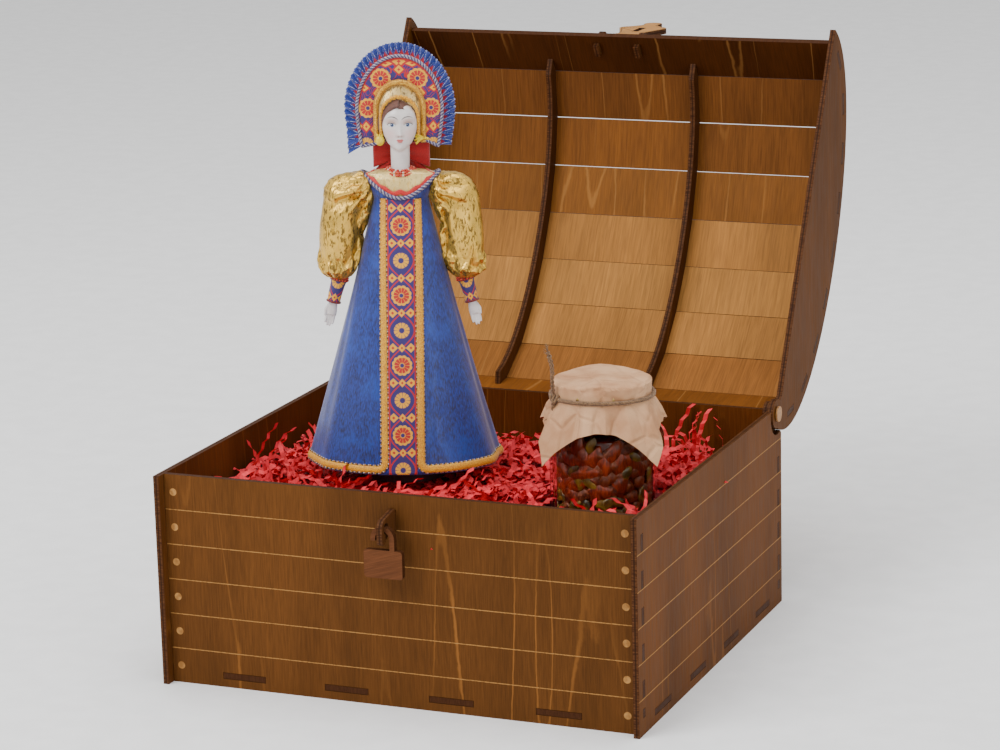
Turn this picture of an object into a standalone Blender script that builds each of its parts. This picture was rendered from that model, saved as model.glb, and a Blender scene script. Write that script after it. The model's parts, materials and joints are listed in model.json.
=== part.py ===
"""Plywood gift chest with a domed lid, a standing costume doll, a jar and paper shred.

Metres, +Z up. The chest stands on the lower edges of its panels. Its front looks along -Y,
the lid hinge runs along X at the back, and the lid is modelled shut and then turned open.
"""
import math

import bmesh
import bpy
from mathutils import Euler, Matrix, Vector

# Sheet material and clearances
PLY = 0.004
GAP = 0.0003

# Chest body
CHEST_WIDTH = 0.340
CHEST_DEPTH = 0.300
CHEST_HEIGHT = 0.145
FRONT_RECESS = 0.0072
BACK_RECESS = 0.0052
FLOOR_UNDERSIDE = 0.006
PLANKS = 6

# Tabs that lock the panels together
FLOOR_TABS = 4
FLOOR_TAB_LENGTH = 0.031
FRONT_TAB_PITCH = 0.075
SIDE_TAB_PITCH = 0.070
CORNER_TAB_LENGTH = 0.0112
CORNER_TAB_RISE = 0.0063
FOOT_TAB_LENGTH = 0.0055
FOOT_TAB_HEIGHT = 0.0145

# Lid: a half ellipse standing on its chord, turning on two pins
PIVOT_INSET = 0.009
PIVOT_DROP = 0.0045
LID_SEAT_GAP = 0.0004
LID_FRONT_INSET = 0.001
LID_BACK_REACH = 0.009
LID_RISE = 0.080
LID_OPEN = math.radians(118.8)
LOBE_RADIUS = 0.0105
NOTCH_RADIUS = 0.0150
NOTCH_CORNER = 0.0035
SLATS = 8
SLAT_INSET = 0.0072
SLAT_FRONT_GAP = 0.004
SLAT_BACK_GAP = 0.0108
SLAT_TAB_LENGTH = 0.0153
RIB_X = 0.057
RIB_DEPTH = 0.012
RIB_FRONT_GAP = 0.024
RIB_BACK_GAP = 0.022

# Hinge pins and the cheeks that carry them
PIN_RADIUS = 0.0037
PIN_CLEARANCE = 0.0003
PIN_HEAD_RADIUS = 0.0055
PIN_HEAD_THICKNESS = 0.0012
CHEEK_RADIUS = 0.0085
CHEEK_FOOT = 0.026

# Lock plate and the two hooks that it swings on
LOCK_HOOK_SPACING = 0.032
LOCK_HOOK_FROM_EDGE = 0.0115
LOCK_HOOK_WIDTH = 0.0100
LOCK_HOOK_REACH = 0.0100
LOCK_HOOK_TAIL = 0.0040
LOCK_RING_INNER = 0.0030
LOCK_BAR_HALF = 0.0017
LOCK_EYE_LENGTH = 0.0053
LOCK_HEAD_HALF_WIDTH = 0.0215
LOCK_HEAD_LENGTH = 0.0095
LOCK_WAIST_AT = 0.0140
LOCK_WAIST_HALF_WIDTH = 0.0088
LOCK_LOBE_AT = 0.0450
LOCK_LOBE_HALF_WIDTH = 0.0185
LOCK_NOTCH_AT = 0.0610
LOCK_NOTCH_HALF_WIDTH = 0.0058
LOCK_TIP_AT = 0.0685
LOCK_TIP_RADIUS = 0.0068
LOCK_SLOT_AT = 0.0360
LOCK_SLOT_LENGTH = 0.0197
LOCK_SLOT_WIDTH = 0.0052

# Hook on the front panel and the padlock on it
HASP_ROOT_LOW = 0.1205
HASP_ROOT_HIGH = 0.1345
HASP_REACH = 0.0215
HASP_TIP_DROP = 0.0045
HASP_EYE_RADIUS = 0.0036
HASP_EYE_FROM_TIP = 0.0062
HASP_EYE_BELOW_TOP = 0.0100
PADLOCK_WIDTH = 0.027
PADLOCK_HEIGHT = 0.019
PADLOCK_CORNER = 0.0022
SHACKLE_RADIUS = 0.0066
SHACKLE_BAR = 0.0034
SHACKLE_RISE = 0.0160
SHACKLE_OPEN_GAP = 0.0060

# Doll, in its own axes: X to its left hand's side as seen from the front, -Y the way it faces
DOLL_X = -0.054
DOLL_Y = 0.150
DOLL_TURN = math.radians(21.95)
DOLL_LEAN = math.radians(0.85)
HEM_HEIGHT = 0.128
HEM_HALF_WIDTH = 0.066
SKIRT_FLATNESS = 0.71
WAIST_HALF_WIDTH = 0.0185
WAIST_HEIGHT = 0.183
NECK_HEIGHT = 0.2005
NECK_RADIUS = 0.0066
HEAD_HEIGHT = 0.2315
HEAD_HALF_WIDTH = 0.0117
HEAD_HALF_HEIGHT = 0.0162
HEADDRESS_HALF_WIDTH = 0.038
HEADDRESS_TOP = 0.287
HEADDRESS_THICKNESS = 0.008
SLEEVE_X = 0.0428
SLEEVE_TOP = 0.2045
SLEEVE_BOTTOM = 0.1265
SLEEVE_HALF_WIDTH = 0.0162
CUFF_LENGTH = 0.017
CUFF_RADIUS = 0.0062
HAND_LENGTH = 0.0185
STAND_RADIUS = 0.030
STAND_THICKNESS = 0.008
STAND_ROD_RADIUS = 0.004
LAY_DOWN_X = -0.044
LAY_DOWN_HEIGHT = 0.176

# Jar with a paper cover
JAR_X = 0.097
JAR_Y = 0.137
JAR_RADIUS = 0.036
JAR_WALL = 0.0024
JAR_BOTTOM = 0.103
JAR_SHOULDER = 0.166
JAR_NECK_RADIUS = 0.0300
JAR_TOP = 0.1965
CAP_RADIUS = 0.0325
CAP_HEIGHT = 0.014
PAPER = 0.0008
COVER_CLEARANCE = 0.007
COVER_DROP = 0.026
TWINE_RADIUS = 0.0011

# Paper shred
SHRED_DEPTH = 0.1065
JAR_SEAT_GAP = 0.0002


def material(name, colour, roughness, metallic=0.0):
    finish = bpy.data.materials.new(name)
    finish.use_nodes = True
    shader = finish.node_tree.nodes["Principled BSDF"]
    shader.inputs["Base Color"].default_value = (*colour, 1.0)
    shader.inputs["Roughness"].default_value = roughness
    shader.inputs["Metallic"].default_value = metallic
    finish.diffuse_color = (*colour, 1.0)
    return finish


def collection(name):
    group = bpy.data.collections.new(name)
    bpy.context.scene.collection.children.link(group)
    return group


def empty(name, location, turn=(0.0, 0.0, 0.0), parent=None):
    frame = bpy.data.objects.new(name, None)
    frame.location = location
    frame.rotation_euler = turn
    frame.parent = parent
    frame.empty_display_size = 0.02
    MODEL.objects.link(frame)
    return frame


def add_object(name, mesh, finish, parent, location=(0.0, 0.0, 0.0), turn=(0.0, 0.0, 0.0)):
    piece = bpy.data.objects.new(name, mesh)
    piece.location = location
    piece.rotation_euler = turn
    piece.parent = parent
    mesh.materials.clear()
    mesh.materials.append(finish)
    MODEL.objects.link(piece)
    return piece


def smooth(piece, angle=math.radians(35.0)):
    piece.data.shade_smooth()
    piece.data.set_sharp_from_angle(angle=angle)


# Outlines ---------------------------------------------------------------------------------

def arc(centre, radius, start, end, steps):
    """Points along a circular arc, both ends included."""
    points = []
    for step in range(steps + 1):
        angle = start + (end - start) * step / steps
        points.append((centre[0] + radius * math.cos(angle), centre[1] + radius * math.sin(angle)))
    return points


def circle(centre, radius, steps=20):
    return arc(centre, radius, 0.0, 2.0 * math.pi, steps)[:-1]


def slot(centre, width, height):
    x, y = centre
    return [(x - width / 2, y - height / 2), (x + width / 2, y - height / 2),
            (x + width / 2, y + height / 2), (x - width / 2, y + height / 2)]


def side_with_tabs(corner, along, outward, tabs):
    """One side of an outline from its corner on; tabs are (distance along, length, reach)."""
    points = [corner]
    for distance, length, reach in sorted(tabs):
        for run, out in ((-0.5, 0.0), (-0.5, 1.0), (0.5, 1.0), (0.5, 0.0)):
            step = distance + run * length
            points.append((corner[0] + along[0] * step + outward[0] * out * reach,
                           corner[1] + along[1] * step + outward[1] * out * reach))
    return points


def tabbed_panel(low, high, bottom=(), right=(), top=(), left=()):
    """Anticlockwise rectangle with tabs; each tab's place is a coordinate along its side."""
    (x0, y0), (x1, y1) = low, high
    points = side_with_tabs((x0, y0), (1, 0), (0, -1), [(c - x0, n, r) for c, n, r in bottom])
    points += side_with_tabs((x1, y0), (0, 1), (1, 0), [(c - y0, n, r) for c, n, r in right])
    points += side_with_tabs((x1, y1), (-1, 0), (0, 1), [(x1 - c, n, r) for c, n, r in top])
    points += side_with_tabs((x0, y1), (0, -1), (-1, 0), [(y1 - c, n, r) for c, n, r in left])
    return points


# Solids -----------------------------------------------------------------------------------

def sheet(name, loops, thickness, finish, parent, location=(0.0, 0.0, 0.0), turn=(0.0, 0.0, 0.0)):
    """A flat piece cut from sheet: the first loop is its outline, the others are its holes."""
    outline = bpy.data.curves.new(name, "CURVE")
    outline.dimensions = "2D"
    outline.fill_mode = "BOTH"
    outline.extrude = thickness / 2
    for loop in loops:
        spline = outline.splines.new("POLY")
        spline.points.add(len(loop) - 1)
        for point, (x, y) in zip(spline.points, loop):
            point.co = (x, y, 0.0, 1.0)
        spline.use_cyclic_u = True
    source = bpy.data.objects.new(name + "_outline", outline)
    bpy.context.scene.collection.objects.link(source)
    depsgraph = bpy.context.evaluated_depsgraph_get()
    mesh = bpy.data.meshes.new_from_object(source.evaluated_get(depsgraph))
    bpy.data.objects.remove(source)
    bpy.data.curves.remove(outline)
    shape = bmesh.new()
    shape.from_mesh(mesh)
    bmesh.ops.remove_doubles(shape, verts=shape.verts, dist=1e-6)
    bmesh.ops.recalc_face_normals(shape, faces=shape.faces)
    shape.to_mesh(mesh)
    shape.free()
    mesh.name = name
    return add_object(name, mesh, finish, parent, location, turn)


FACE_FRONT = (math.pi / 2, 0.0, 0.0)
FACE_SIDE = (math.pi / 2, 0.0, math.pi / 2)


def rod(name, radius, length, finish, parent, location, turn, segments=24, head=None):
    """A pin along its own Z from 0 to length; head is (radius, thickness) at its far end."""
    shape = bmesh.new()
    profile = [(0.0, 0.0), (radius, 0.0), (radius, length)]
    if head:
        head_radius, head_thickness = head
        profile += [(head_radius, length), (head_radius, length + head_thickness)]
        profile.append((0.0, length + head_thickness))
    else:
        profile.append((0.0, length))
    spin_profile(shape, profile, segments)
    mesh = bpy.data.meshes.new(name)
    shape.to_mesh(mesh)
    shape.free()
    piece = add_object(name, mesh, finish, parent, location, turn)
    smooth(piece)
    return piece


def spin_profile(shape, profile, segments):
    """Turn (radius, height) points about Z into a closed skin; the profile may be a ring."""
    verts = [shape.verts.new((radius, 0.0, height)) for radius, height in profile]
    edges = [shape.edges.new(pair) for pair in zip(verts, verts[1:])]
    if profile[0][0] > 0.0:
        edges.append(shape.edges.new((verts[-1], verts[0])))
    bmesh.ops.spin(shape, geom=verts + edges, cent=(0, 0, 0), axis=(0, 0, 1),
                   angle=2.0 * math.pi, steps=segments, use_merge=True)
    bmesh.ops.remove_doubles(shape, verts=shape.verts, dist=1e-6)
    bmesh.ops.recalc_face_normals(shape, faces=shape.faces)


def turned(name, profile, finish, parent, location, segments=32, flatness=1.0, bend=None):
    """A turned piece; flatness squeezes it front to back, and bend moves each finished point."""
    shape = bmesh.new()
    spin_profile(shape, profile, segments)
    bmesh.ops.scale(shape, vec=(1.0, flatness, 1.0), verts=shape.verts)
    if bend:
        for vert in shape.verts:
            vert.co = Vector(bend(vert.co))
    mesh = bpy.data.meshes.new(name)
    shape.to_mesh(mesh)
    shape.free()
    piece = add_object(name, mesh, finish, parent, location)
    smooth(piece)
    return piece


def mix(a, b, share):
    return a + (b - a) * share


# Chest body -------------------------------------------------------------------------------

def centred(count, pitch):
    return [(index - (count - 1) / 2) * pitch for index in range(count)]


def plank_height():
    return CHEST_HEIGHT / PLANKS


def corner_tabs():
    """Heights and lengths of the tabs along one upright corner, the small foot tab first."""
    tabs = [(FOOT_TAB_HEIGHT, FOOT_TAB_LENGTH)]
    for line in range(1, PLANKS):
        tabs.append((line * plank_height() + CORNER_TAB_RISE, CORNER_TAB_LENGTH))
    return tabs


def floor_middle():
    return FLOOR_UNDERSIDE + PLY / 2


def side_inner():
    return CHEST_WIDTH / 2 - PLY


def front_plane():
    return FRONT_RECESS + PLY / 2


def back_plane():
    return CHEST_DEPTH - BACK_RECESS - PLY / 2


def pivot_point():
    return CHEST_DEPTH - PIVOT_INSET, CHEST_HEIGHT - PIVOT_DROP


def make_front_and_back(chest):
    reach = side_inner() - GAP
    tabs = [(height, length, PLY + GAP) for height, length in corner_tabs()]
    floor_slots = [slot((x, floor_middle()), FLOOR_TAB_LENGTH + 2 * GAP, PLY + 2 * GAP)
                   for x in centred(FLOOR_TABS, FRONT_TAB_PITCH)]
    hasp_slot = slot((0.0, (HASP_ROOT_LOW + HASP_ROOT_HIGH) / 2), PLY + 2 * GAP,
                     HASP_ROOT_HIGH - HASP_ROOT_LOW + 2 * GAP)
    outline = tabbed_panel((-reach, 0.0), (reach, CHEST_HEIGHT), right=tabs, left=tabs)
    sheet("front_panel", [outline, hasp_slot] + floor_slots, PLY, WALNUT, chest,
          (0.0, front_plane(), 0.0), FACE_FRONT)
    back_tabs = [tab for tab in tabs if tab[0] < CHEST_HEIGHT - PIVOT_DROP - 2 * NOTCH_RADIUS]
    back_top = CHEST_HEIGHT - 0.002
    outline = tabbed_panel((-reach, 0.0), (reach, back_top), right=back_tabs, left=back_tabs)
    sheet("back_panel", [cut_cheek_corners(outline, reach, back_top)] + floor_slots, PLY, WALNUT,
          chest, (0.0, back_plane(), 0.0), FACE_FRONT)
    return back_tabs


def cut_cheek_corners(outline, reach, top):
    """Steps the back panel's upper corners down and in, clear of the hinge cheeks and lobes."""
    inner = reach - PLY - GAP
    low = CHEST_HEIGHT - PIVOT_DROP - CHEEK_FOOT
    points = []
    for x, z in outline:
        if z < top:
            points.append((x, z))
        elif x > 0.0:
            points += [(reach, low), (inner, low), (inner, top)]
        else:
            points += [(-inner, top), (-inner, low), (-reach, low)]
    return points


def make_sides(chest, back_tabs):
    py, pz = pivot_point()
    floor_slots = [slot((y + CHEST_DEPTH / 2, floor_middle()),
                        FLOOR_TAB_LENGTH + 2 * GAP, PLY + 2 * GAP)
                   for y in centred(FLOOR_TABS, SIDE_TAB_PITCH)]
    front_slots = [slot((front_plane(), height), PLY + 2 * GAP, length + 2 * GAP)
                   for height, length in corner_tabs()]
    back_slots = [slot((back_plane(), height), PLY + 2 * GAP, length + 2 * GAP)
                  for height, length, _ in back_tabs]
    rear_angle = -math.acos(PIVOT_INSET / NOTCH_RADIUS)
    top_angle = -math.pi - math.asin(PIVOT_DROP / NOTCH_RADIUS)
    notch = arc((py, pz), NOTCH_RADIUS, rear_angle, top_angle, 14)
    eased = [(CHEST_DEPTH, notch[0][1] - NOTCH_CORNER)]
    outline = [(0.0, 0.0), (CHEST_DEPTH, 0.0)] + eased + notch[1:] + [(0.0, CHEST_HEIGHT)]
    for name, sign in (("left_side_panel", -1), ("right_side_panel", 1)):
        sheet(name, [outline] + floor_slots + front_slots + back_slots, PLY, WALNUT, chest,
              (sign * (CHEST_WIDTH / 2 - PLY / 2), 0.0, 0.0), FACE_SIDE)


def make_floor(chest):
    front = front_plane() + PLY / 2 + GAP
    back = back_plane() - PLY / 2 - GAP
    side = side_inner() - GAP
    lengthwise = [(x, FLOOR_TAB_LENGTH, PLY + GAP) for x in centred(FLOOR_TABS, FRONT_TAB_PITCH)]
    crosswise = [(y + CHEST_DEPTH / 2, FLOOR_TAB_LENGTH, PLY + GAP)
                 for y in centred(FLOOR_TABS, SIDE_TAB_PITCH)]
    outline = tabbed_panel((-side, front), (side, back), bottom=lengthwise, top=lengthwise,
                           left=crosswise, right=crosswise)
    sheet("bottom_panel", [outline], PLY, WALNUT, chest, (0.0, 0.0, floor_middle()))


def make_hinges(chest):
    """A cheek inside each rear corner carries the pin that the lid's lobe turns on."""
    py, pz = pivot_point()
    top = arc((0.0, 0.0), CHEEK_RADIUS, 0.0, math.pi, 12)
    foot = -CHEEK_FOOT + GAP
    outline = top + [(-CHEEK_RADIUS, foot), (CHEEK_RADIUS, foot)]
    hole = circle((0.0, 0.0), PIN_RADIUS + PIN_CLEARANCE)
    pin_length = 2 * PLY + 2 * GAP + PIN_CLEARANCE
    for side, sign in (("left", -1), ("right", 1)):
        middle = sign * (side_inner() - GAP - PLY / 2)
        sheet(side + "_hinge_cheek", [outline, hole], PLY, WALNUT, chest, (middle, py, pz), FACE_SIDE)
        inner = sign * (side_inner() - GAP - PLY)
        rod(side + "_hinge_pin", PIN_RADIUS, pin_length, DARK_EDGE, chest, (inner, py, pz),
            (0.0, sign * math.pi / 2, 0.0), head=(PIN_HEAD_RADIUS, PIN_HEAD_THICKNESS))


def make_hasp(chest):
    """Hook that the lock plate drops over, with an eye for the padlock."""
    root = FRONT_RECESS + PLY
    tip = FRONT_RECESS - HASP_REACH
    low, high = HASP_ROOT_LOW, HASP_ROOT_HIGH
    rise = 0.0020
    nose = HASP_EYE_FROM_TIP
    eye = (tip + nose, high - HASP_EYE_BELOW_TOP + rise)
    front = arc(eye, nose, math.pi, math.pi * 0.55, 6)
    tip_low = low - HASP_TIP_DROP
    outline = [(root, low), (root, high), (FRONT_RECESS - GAP, high)]
    outline += [(FRONT_RECESS - 2 * GAP, high + rise / 2)]
    outline += list(reversed(front))
    outline += arc((tip + 0.0028, tip_low + 0.0028), 0.0028, math.pi, 2.0 * math.pi, 8)
    outline += [(tip + 0.0074, low - 0.0010), (tip + 0.0105, low + 0.0006), (FRONT_RECESS, low)]
    sheet("padlock_hook", [outline, circle(eye, HASP_EYE_RADIUS)], PLY, WALNUT, chest,
          (0.0, 0.0, 0.0), FACE_SIDE)
    return eye


def make_padlock(chest, eye):
    """One flat piece whose shackle is cut open on its left."""
    y, z = eye
    swing = empty("padlock_swing", (0.0, y, z), parent=chest)
    inner = SHACKLE_RADIUS - SHACKLE_BAR / 2
    outer = SHACKLE_RADIUS + SHACKLE_BAR / 2
    crown = -SHACKLE_RADIUS
    body_top = SHACKLE_BAR / 2 - SHACKLE_RISE
    body_bottom = body_top - PADLOCK_HEIGHT
    half = PADLOCK_WIDTH / 2
    corner = PADLOCK_CORNER
    outline = arc((-half + corner, body_bottom + corner), corner, math.pi, 1.5 * math.pi, 4)
    outline += arc((half - corner, body_bottom + corner), corner, 1.5 * math.pi, 2 * math.pi, 4)
    outline += arc((half - corner, body_top - corner), corner, 0.0, math.pi / 2, 4)
    outline += [(outer, body_top)] + arc((0.0, crown), outer, 0.0, math.pi, 16)
    outline += [(-outer, body_top + SHACKLE_OPEN_GAP), (-inner, body_top + SHACKLE_OPEN_GAP)]
    outline += arc((0.0, crown), inner, math.pi, 0.0, 14) + [(inner, body_top)]
    outline += arc((-half + corner, body_top - corner), corner, math.pi / 2, math.pi, 4)
    sheet("padlock", [outline], PLY, PALE_WALNUT, swing, (0.0, 0.0, 0.0), FACE_FRONT)


# Lid --------------------------------------------------------------------------------------
# Lid points are (s, h): s runs from the pivot to the front along the closed lid's lower edge,
# h rises from that edge. Closed, s points along -Y and h along +Z.

def edge_rise():
    return PIVOT_DROP + LID_SEAT_GAP


def lid_ellipse(inset=0.0):
    """Centre and half axes of the lid's arc, drawn in by an inset."""
    front = CHEST_DEPTH - PIVOT_INSET - LID_FRONT_INSET
    centre = (front - LID_BACK_REACH) / 2
    return centre, front - centre - inset, LID_RISE - inset


def arc_table(inset, steps=720):
    """Points along half the ellipse, front to back, each with its distance from the start."""
    centre, a, b = lid_ellipse(inset)
    table = [(0.0, (centre + a, 0.0))]
    for step in range(1, steps + 1):
        angle = math.pi * step / steps
        point = (centre + a * math.cos(angle), b * math.sin(angle))
        before = table[-1]
        table.append((before[0] + math.dist(before[1], point), point))
    return table


def point_at(table, distance):
    for (near, p), (far, q) in zip(table, table[1:]):
        if far >= distance:
            share = (distance - near) / (far - near)
            return mix(p[0], q[0], share), mix(p[1], q[1], share)
    return table[-1][1]


def slat_lines():
    """Each board's two ends on the lid's section, the front board first."""
    table = arc_table(SLAT_INSET)
    usable = table[-1][0] - SLAT_FRONT_GAP - SLAT_BACK_GAP
    joints = [point_at(table, SLAT_FRONT_GAP + usable * step / (SLATS + 1))
              for step in range(SLATS + 2)]
    return list(zip(joints, joints[1:]))


def to_lid(point, x=0.0):
    """Closed lid position, measured from the pivot, of a point of the lid's section."""
    return Vector((x, -point[0], point[1] + edge_rise()))


def board_relief(headings, index):
    """How much a board is shortened at each end so that it clears its neighbours."""
    turns = [abs(headings[index] - headings[other])
             for other in (index - 1, index + 1) if 0 <= other < len(headings)]
    return PLY / 2 * math.tan(max(turns) / 2) + GAP / 2


def make_boards(lid):
    lines = slat_lines()
    headings = [math.atan2(b[1] - a[1], a[0] - b[0]) for a, b in lines]
    half_width = side_inner() - GAP
    for index, (a, b) in enumerate(lines):
        length = math.dist(a, b) - 2 * board_relief(headings, index)
        tab = [(0.0, SLAT_TAB_LENGTH, PLY + GAP)]
        outline = tabbed_panel((-half_width, -length / 2), (half_width, length / 2),
                               right=tab, left=tab)
        loops = [outline]
        name = "lid_slat_%d" % index
        if index == 0:
            name = "lid_front_board"
            place = -length / 2 + LOCK_HOOK_FROM_EDGE
            loops += [slot((x, place), PLY + 2 * GAP, LOCK_HOOK_WIDTH + 2 * GAP)
                      for x in (-LOCK_HOOK_SPACING / 2, LOCK_HOOK_SPACING / 2)]
        middle = to_lid(((a[0] + b[0]) / 2, (a[1] + b[1]) / 2))
        sheet(name, loops, PLY, WALNUT, lid, middle, (headings[index], 0.0, 0.0))
    return lines, headings


def make_lid_ends(lid, lines, headings):
    centre, a, b = lid_ellipse()
    rise = edge_rise()
    crown = [(centre + a * math.cos(angle), b * math.sin(angle))
             for angle in (math.pi * step / 56 for step in range(57))]
    outline = [(-s, h + rise) for s, h in crown]
    first = math.pi - math.asin(rise / LOBE_RADIUS)
    lobe = arc((0.0, 0.0), LOBE_RADIUS, math.pi - first, first - 2.0 * math.pi + math.radians(14), 18)
    fillet = (-(LOBE_RADIUS + 0.004), rise)
    outline += lobe[1:] + [(fillet[0] + 0.0016, rise - 0.0012), fillet]
    holes = [circle((0.0, 0.0), PIN_RADIUS + PIN_CLEARANCE)]
    for (p, q), heading in zip(lines, headings):
        middle = to_lid(((p[0] + q[0]) / 2, (p[1] + q[1]) / 2))
        turn = Matrix.Rotation(heading, 2)
        corners = slot((0.0, 0.0), SLAT_TAB_LENGTH + 2 * GAP, PLY + 2 * GAP)
        holes.append([tuple(turn @ Vector(corner) + middle.yz) for corner in corners])
    for name, sign in (("lid_left_end", -1), ("lid_right_end", 1)):
        sheet(name, [outline] + holes, PLY, WALNUT, lid,
              (sign * (CHEST_WIDTH / 2 - PLY / 2), 0.0, 0.0), FACE_SIDE)


def offset_inward(lines, headings, distance):
    """Corners of the line that runs under the boards at a distance from their middles."""
    def inward(heading, length):
        return Vector((-math.sin(heading), -math.cos(heading))) * length

    points = [Vector(lines[0][0]) + inward(headings[0], distance)]
    for (_, joint), before, after in zip(lines, headings, headings[1:]):
        stretched = distance / math.cos((after - before) / 2)
        points.append(Vector(joint) + inward((before + after) / 2, stretched))
    points.append(Vector(lines[-1][1]) + inward(headings[-1], distance))
    return points


def make_ribs(lid, lines, headings):
    """Curved battens glued under the boards; their free edge is a smooth arc."""
    outer = offset_inward(lines, headings, PLY / 2 + GAP)
    outer[0] = outer[0].lerp(outer[1], RIB_FRONT_GAP / (outer[1] - outer[0]).length)
    outer[-1] = outer[-1].lerp(outer[-2], RIB_BACK_GAP / (outer[-1] - outer[-2]).length)
    inner = arc_table(SLAT_INSET + PLY / 2 + RIB_DEPTH)
    steps = 30
    start = RIB_FRONT_GAP + RIB_DEPTH * 0.4
    end = inner[-1][0] - RIB_BACK_GAP - RIB_DEPTH * 0.4
    inner_points = [point_at(inner, mix(start, end, step / steps)) for step in range(steps + 1)]
    loop = [tuple(point) for point in outer] + list(reversed(inner_points))
    outline = [(-s, h + edge_rise()) for s, h in loop]
    for name, x in (("lid_left_rib", -RIB_X), ("lid_right_rib", RIB_X)):
        sheet(name, [outline], PLY, PALE_WALNUT, lid, (x, 0.0, 0.0), FACE_SIDE)


def lock_axis(lines, headings):
    """Where the lock hooks pass through the front board, and the axis that their rings are on."""
    heading = headings[0]
    along = Vector((0.0, math.cos(heading), math.sin(heading)))
    outward = Vector((0.0, -math.sin(heading), math.cos(heading)))
    peg = to_lid(lines[0][0]) + along * (board_relief(headings, 0) + LOCK_HOOK_FROM_EDGE)
    return peg, peg + outward * LOCK_HOOK_REACH


def make_lock_hooks(lid, peg, heading):
    """Two hooks pushed out through the front board; each curls over the lock plate's bar."""
    half = LOCK_HOOK_WIDTH / 2
    centre = (0.0, LOCK_HOOK_REACH)
    tip = math.radians(8.0)
    tail = -PLY / 2 - LOCK_HOOK_TAIL
    crotch = LOCK_HOOK_REACH - half
    outline = [(half, tail), (half, PLY / 2 + 0.001), (-LOCK_RING_INNER, crotch)]
    outline += arc(centre, LOCK_RING_INNER, math.pi, tip, 10)
    outline += arc(centre, half, tip, math.pi, 12) + [(-half, tail)]
    turn = Matrix.Rotation(heading, 3, "X") @ Euler(FACE_SIDE).to_matrix()
    for side, sign in (("left", -1), ("right", 1)):
        sheet("lock_hook_" + side, [outline], PLY, WALNUT, lid,
              (sign * LOCK_HOOK_SPACING / 2, peg.y, peg.z), turn.to_euler())


def make_lock_plate(lid, axis):
    """Scalloped plate, level when the lid is open; its length runs along its own +Y."""
    swing = empty("lock_plate_swing", axis, (LID_OPEN, 0.0, 0.0), lid)
    top = -LOCK_BAR_HALF
    half = [(LOCK_HEAD_HALF_WIDTH, top), (LOCK_HEAD_HALF_WIDTH, LOCK_HEAD_LENGTH - 0.002)]
    half += [(LOCK_HEAD_HALF_WIDTH - 0.002, LOCK_HEAD_LENGTH)]
    half += [(LOCK_WAIST_HALF_WIDTH + 0.004, LOCK_HEAD_LENGTH + 0.0012)]
    lobe_radius = 0.0075
    lobe = (LOCK_LOBE_HALF_WIDTH - lobe_radius, LOCK_LOBE_AT)
    half += [(LOCK_WAIST_HALF_WIDTH, LOCK_WAIST_AT), (LOCK_WAIST_HALF_WIDTH + 0.0008, 0.020)]
    half += [(mix(LOCK_WAIST_HALF_WIDTH, LOCK_LOBE_HALF_WIDTH, 0.42), 0.029)]
    half += arc(lobe, lobe_radius, math.radians(-32), math.radians(72), 8)
    half += [(LOCK_NOTCH_HALF_WIDTH + 0.0032, LOCK_NOTCH_AT - 0.0042)]
    half += [(LOCK_NOTCH_HALF_WIDTH, LOCK_NOTCH_AT)]
    half += arc((0.0, LOCK_TIP_AT), LOCK_TIP_RADIUS, math.radians(-38), math.pi / 2, 8)
    outline = half + [(-x, y) for x, y in reversed(half[:-1])]
    eyes = [slot((sign * LOCK_HOOK_SPACING / 2, LOCK_BAR_HALF + LOCK_EYE_LENGTH / 2),
                 PLY + 3 * GAP, LOCK_EYE_LENGTH) for sign in (-1, 1)]
    keyhole = slot((0.0, LOCK_SLOT_AT), LOCK_SLOT_WIDTH, LOCK_SLOT_LENGTH)
    sheet("lock_plate", [outline, keyhole] + eyes, PLY, PALE_WALNUT, swing)


# Doll -------------------------------------------------------------------------------------

def skirt_half_width(height):
    return mix(HEM_HALF_WIDTH, WAIST_HALF_WIDTH, height / WAIST_HEIGHT)


def doll_frame(chest):
    """Empty on the axis that the doll lies down about, turned the way the doll faces."""
    x = DOLL_X + math.cos(DOLL_TURN) * LAY_DOWN_X
    y = DOLL_Y + math.sin(DOLL_TURN) * LAY_DOWN_X
    axis = empty("doll_lay_down", (x, y, LAY_DOWN_HEIGHT), (0.0, 0.0, DOLL_TURN), chest)
    return empty("doll_hem_centre", (-LAY_DOWN_X, 0.0, HEM_HEIGHT - LAY_DOWN_HEIGHT),
                 (0.0, DOLL_LEAN, 0.0), axis)


def make_stand(doll):
    low = -0.010
    rod_top = 0.150
    profile = [(0.0, rod_top), (STAND_ROD_RADIUS, rod_top), (STAND_ROD_RADIUS, low + STAND_THICKNESS),
               (STAND_RADIUS - 0.002, low + STAND_THICKNESS), (STAND_RADIUS, low + STAND_THICKNESS - 0.002),
               (STAND_RADIUS, low), (0.0, low)]
    turned("doll_stand", profile, BLACK, doll, (0.0, 0.0, 0.0), 28)


def make_dress(doll):
    cloth = 0.0022
    steps = 6
    outer = [(skirt_half_width(WAIST_HEIGHT * (1 - step / steps)), WAIST_HEIGHT * (1 - step / steps))
             for step in range(steps + 1)]
    inner = [(radius - cloth, height) for radius, height in reversed(outer)]
    turned("doll_skirt", outer + inner, BLUE_BROCADE, doll, (0.0, 0.0, 0.0), 40, SKIRT_FLATNESS)
    inside = WAIST_HALF_WIDTH - cloth - 2 * GAP
    profile = [(0.0, NECK_HEIGHT), (0.0085, NECK_HEIGHT), (0.0145, NECK_HEIGHT - 0.0030),
               (0.0190, NECK_HEIGHT - 0.0090), (WAIST_HALF_WIDTH, WAIST_HEIGHT + 0.004),
               (WAIST_HALF_WIDTH, WAIST_HEIGHT + GAP), (inside, WAIST_HEIGHT + GAP),
               (inside - 0.002, 0.1505), (0.0, 0.1505)]
    turned("doll_bodice", profile, BLUE_BROCADE, doll, (0.0, 0.0, 0.0), 32, SKIRT_FLATNESS)


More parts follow.
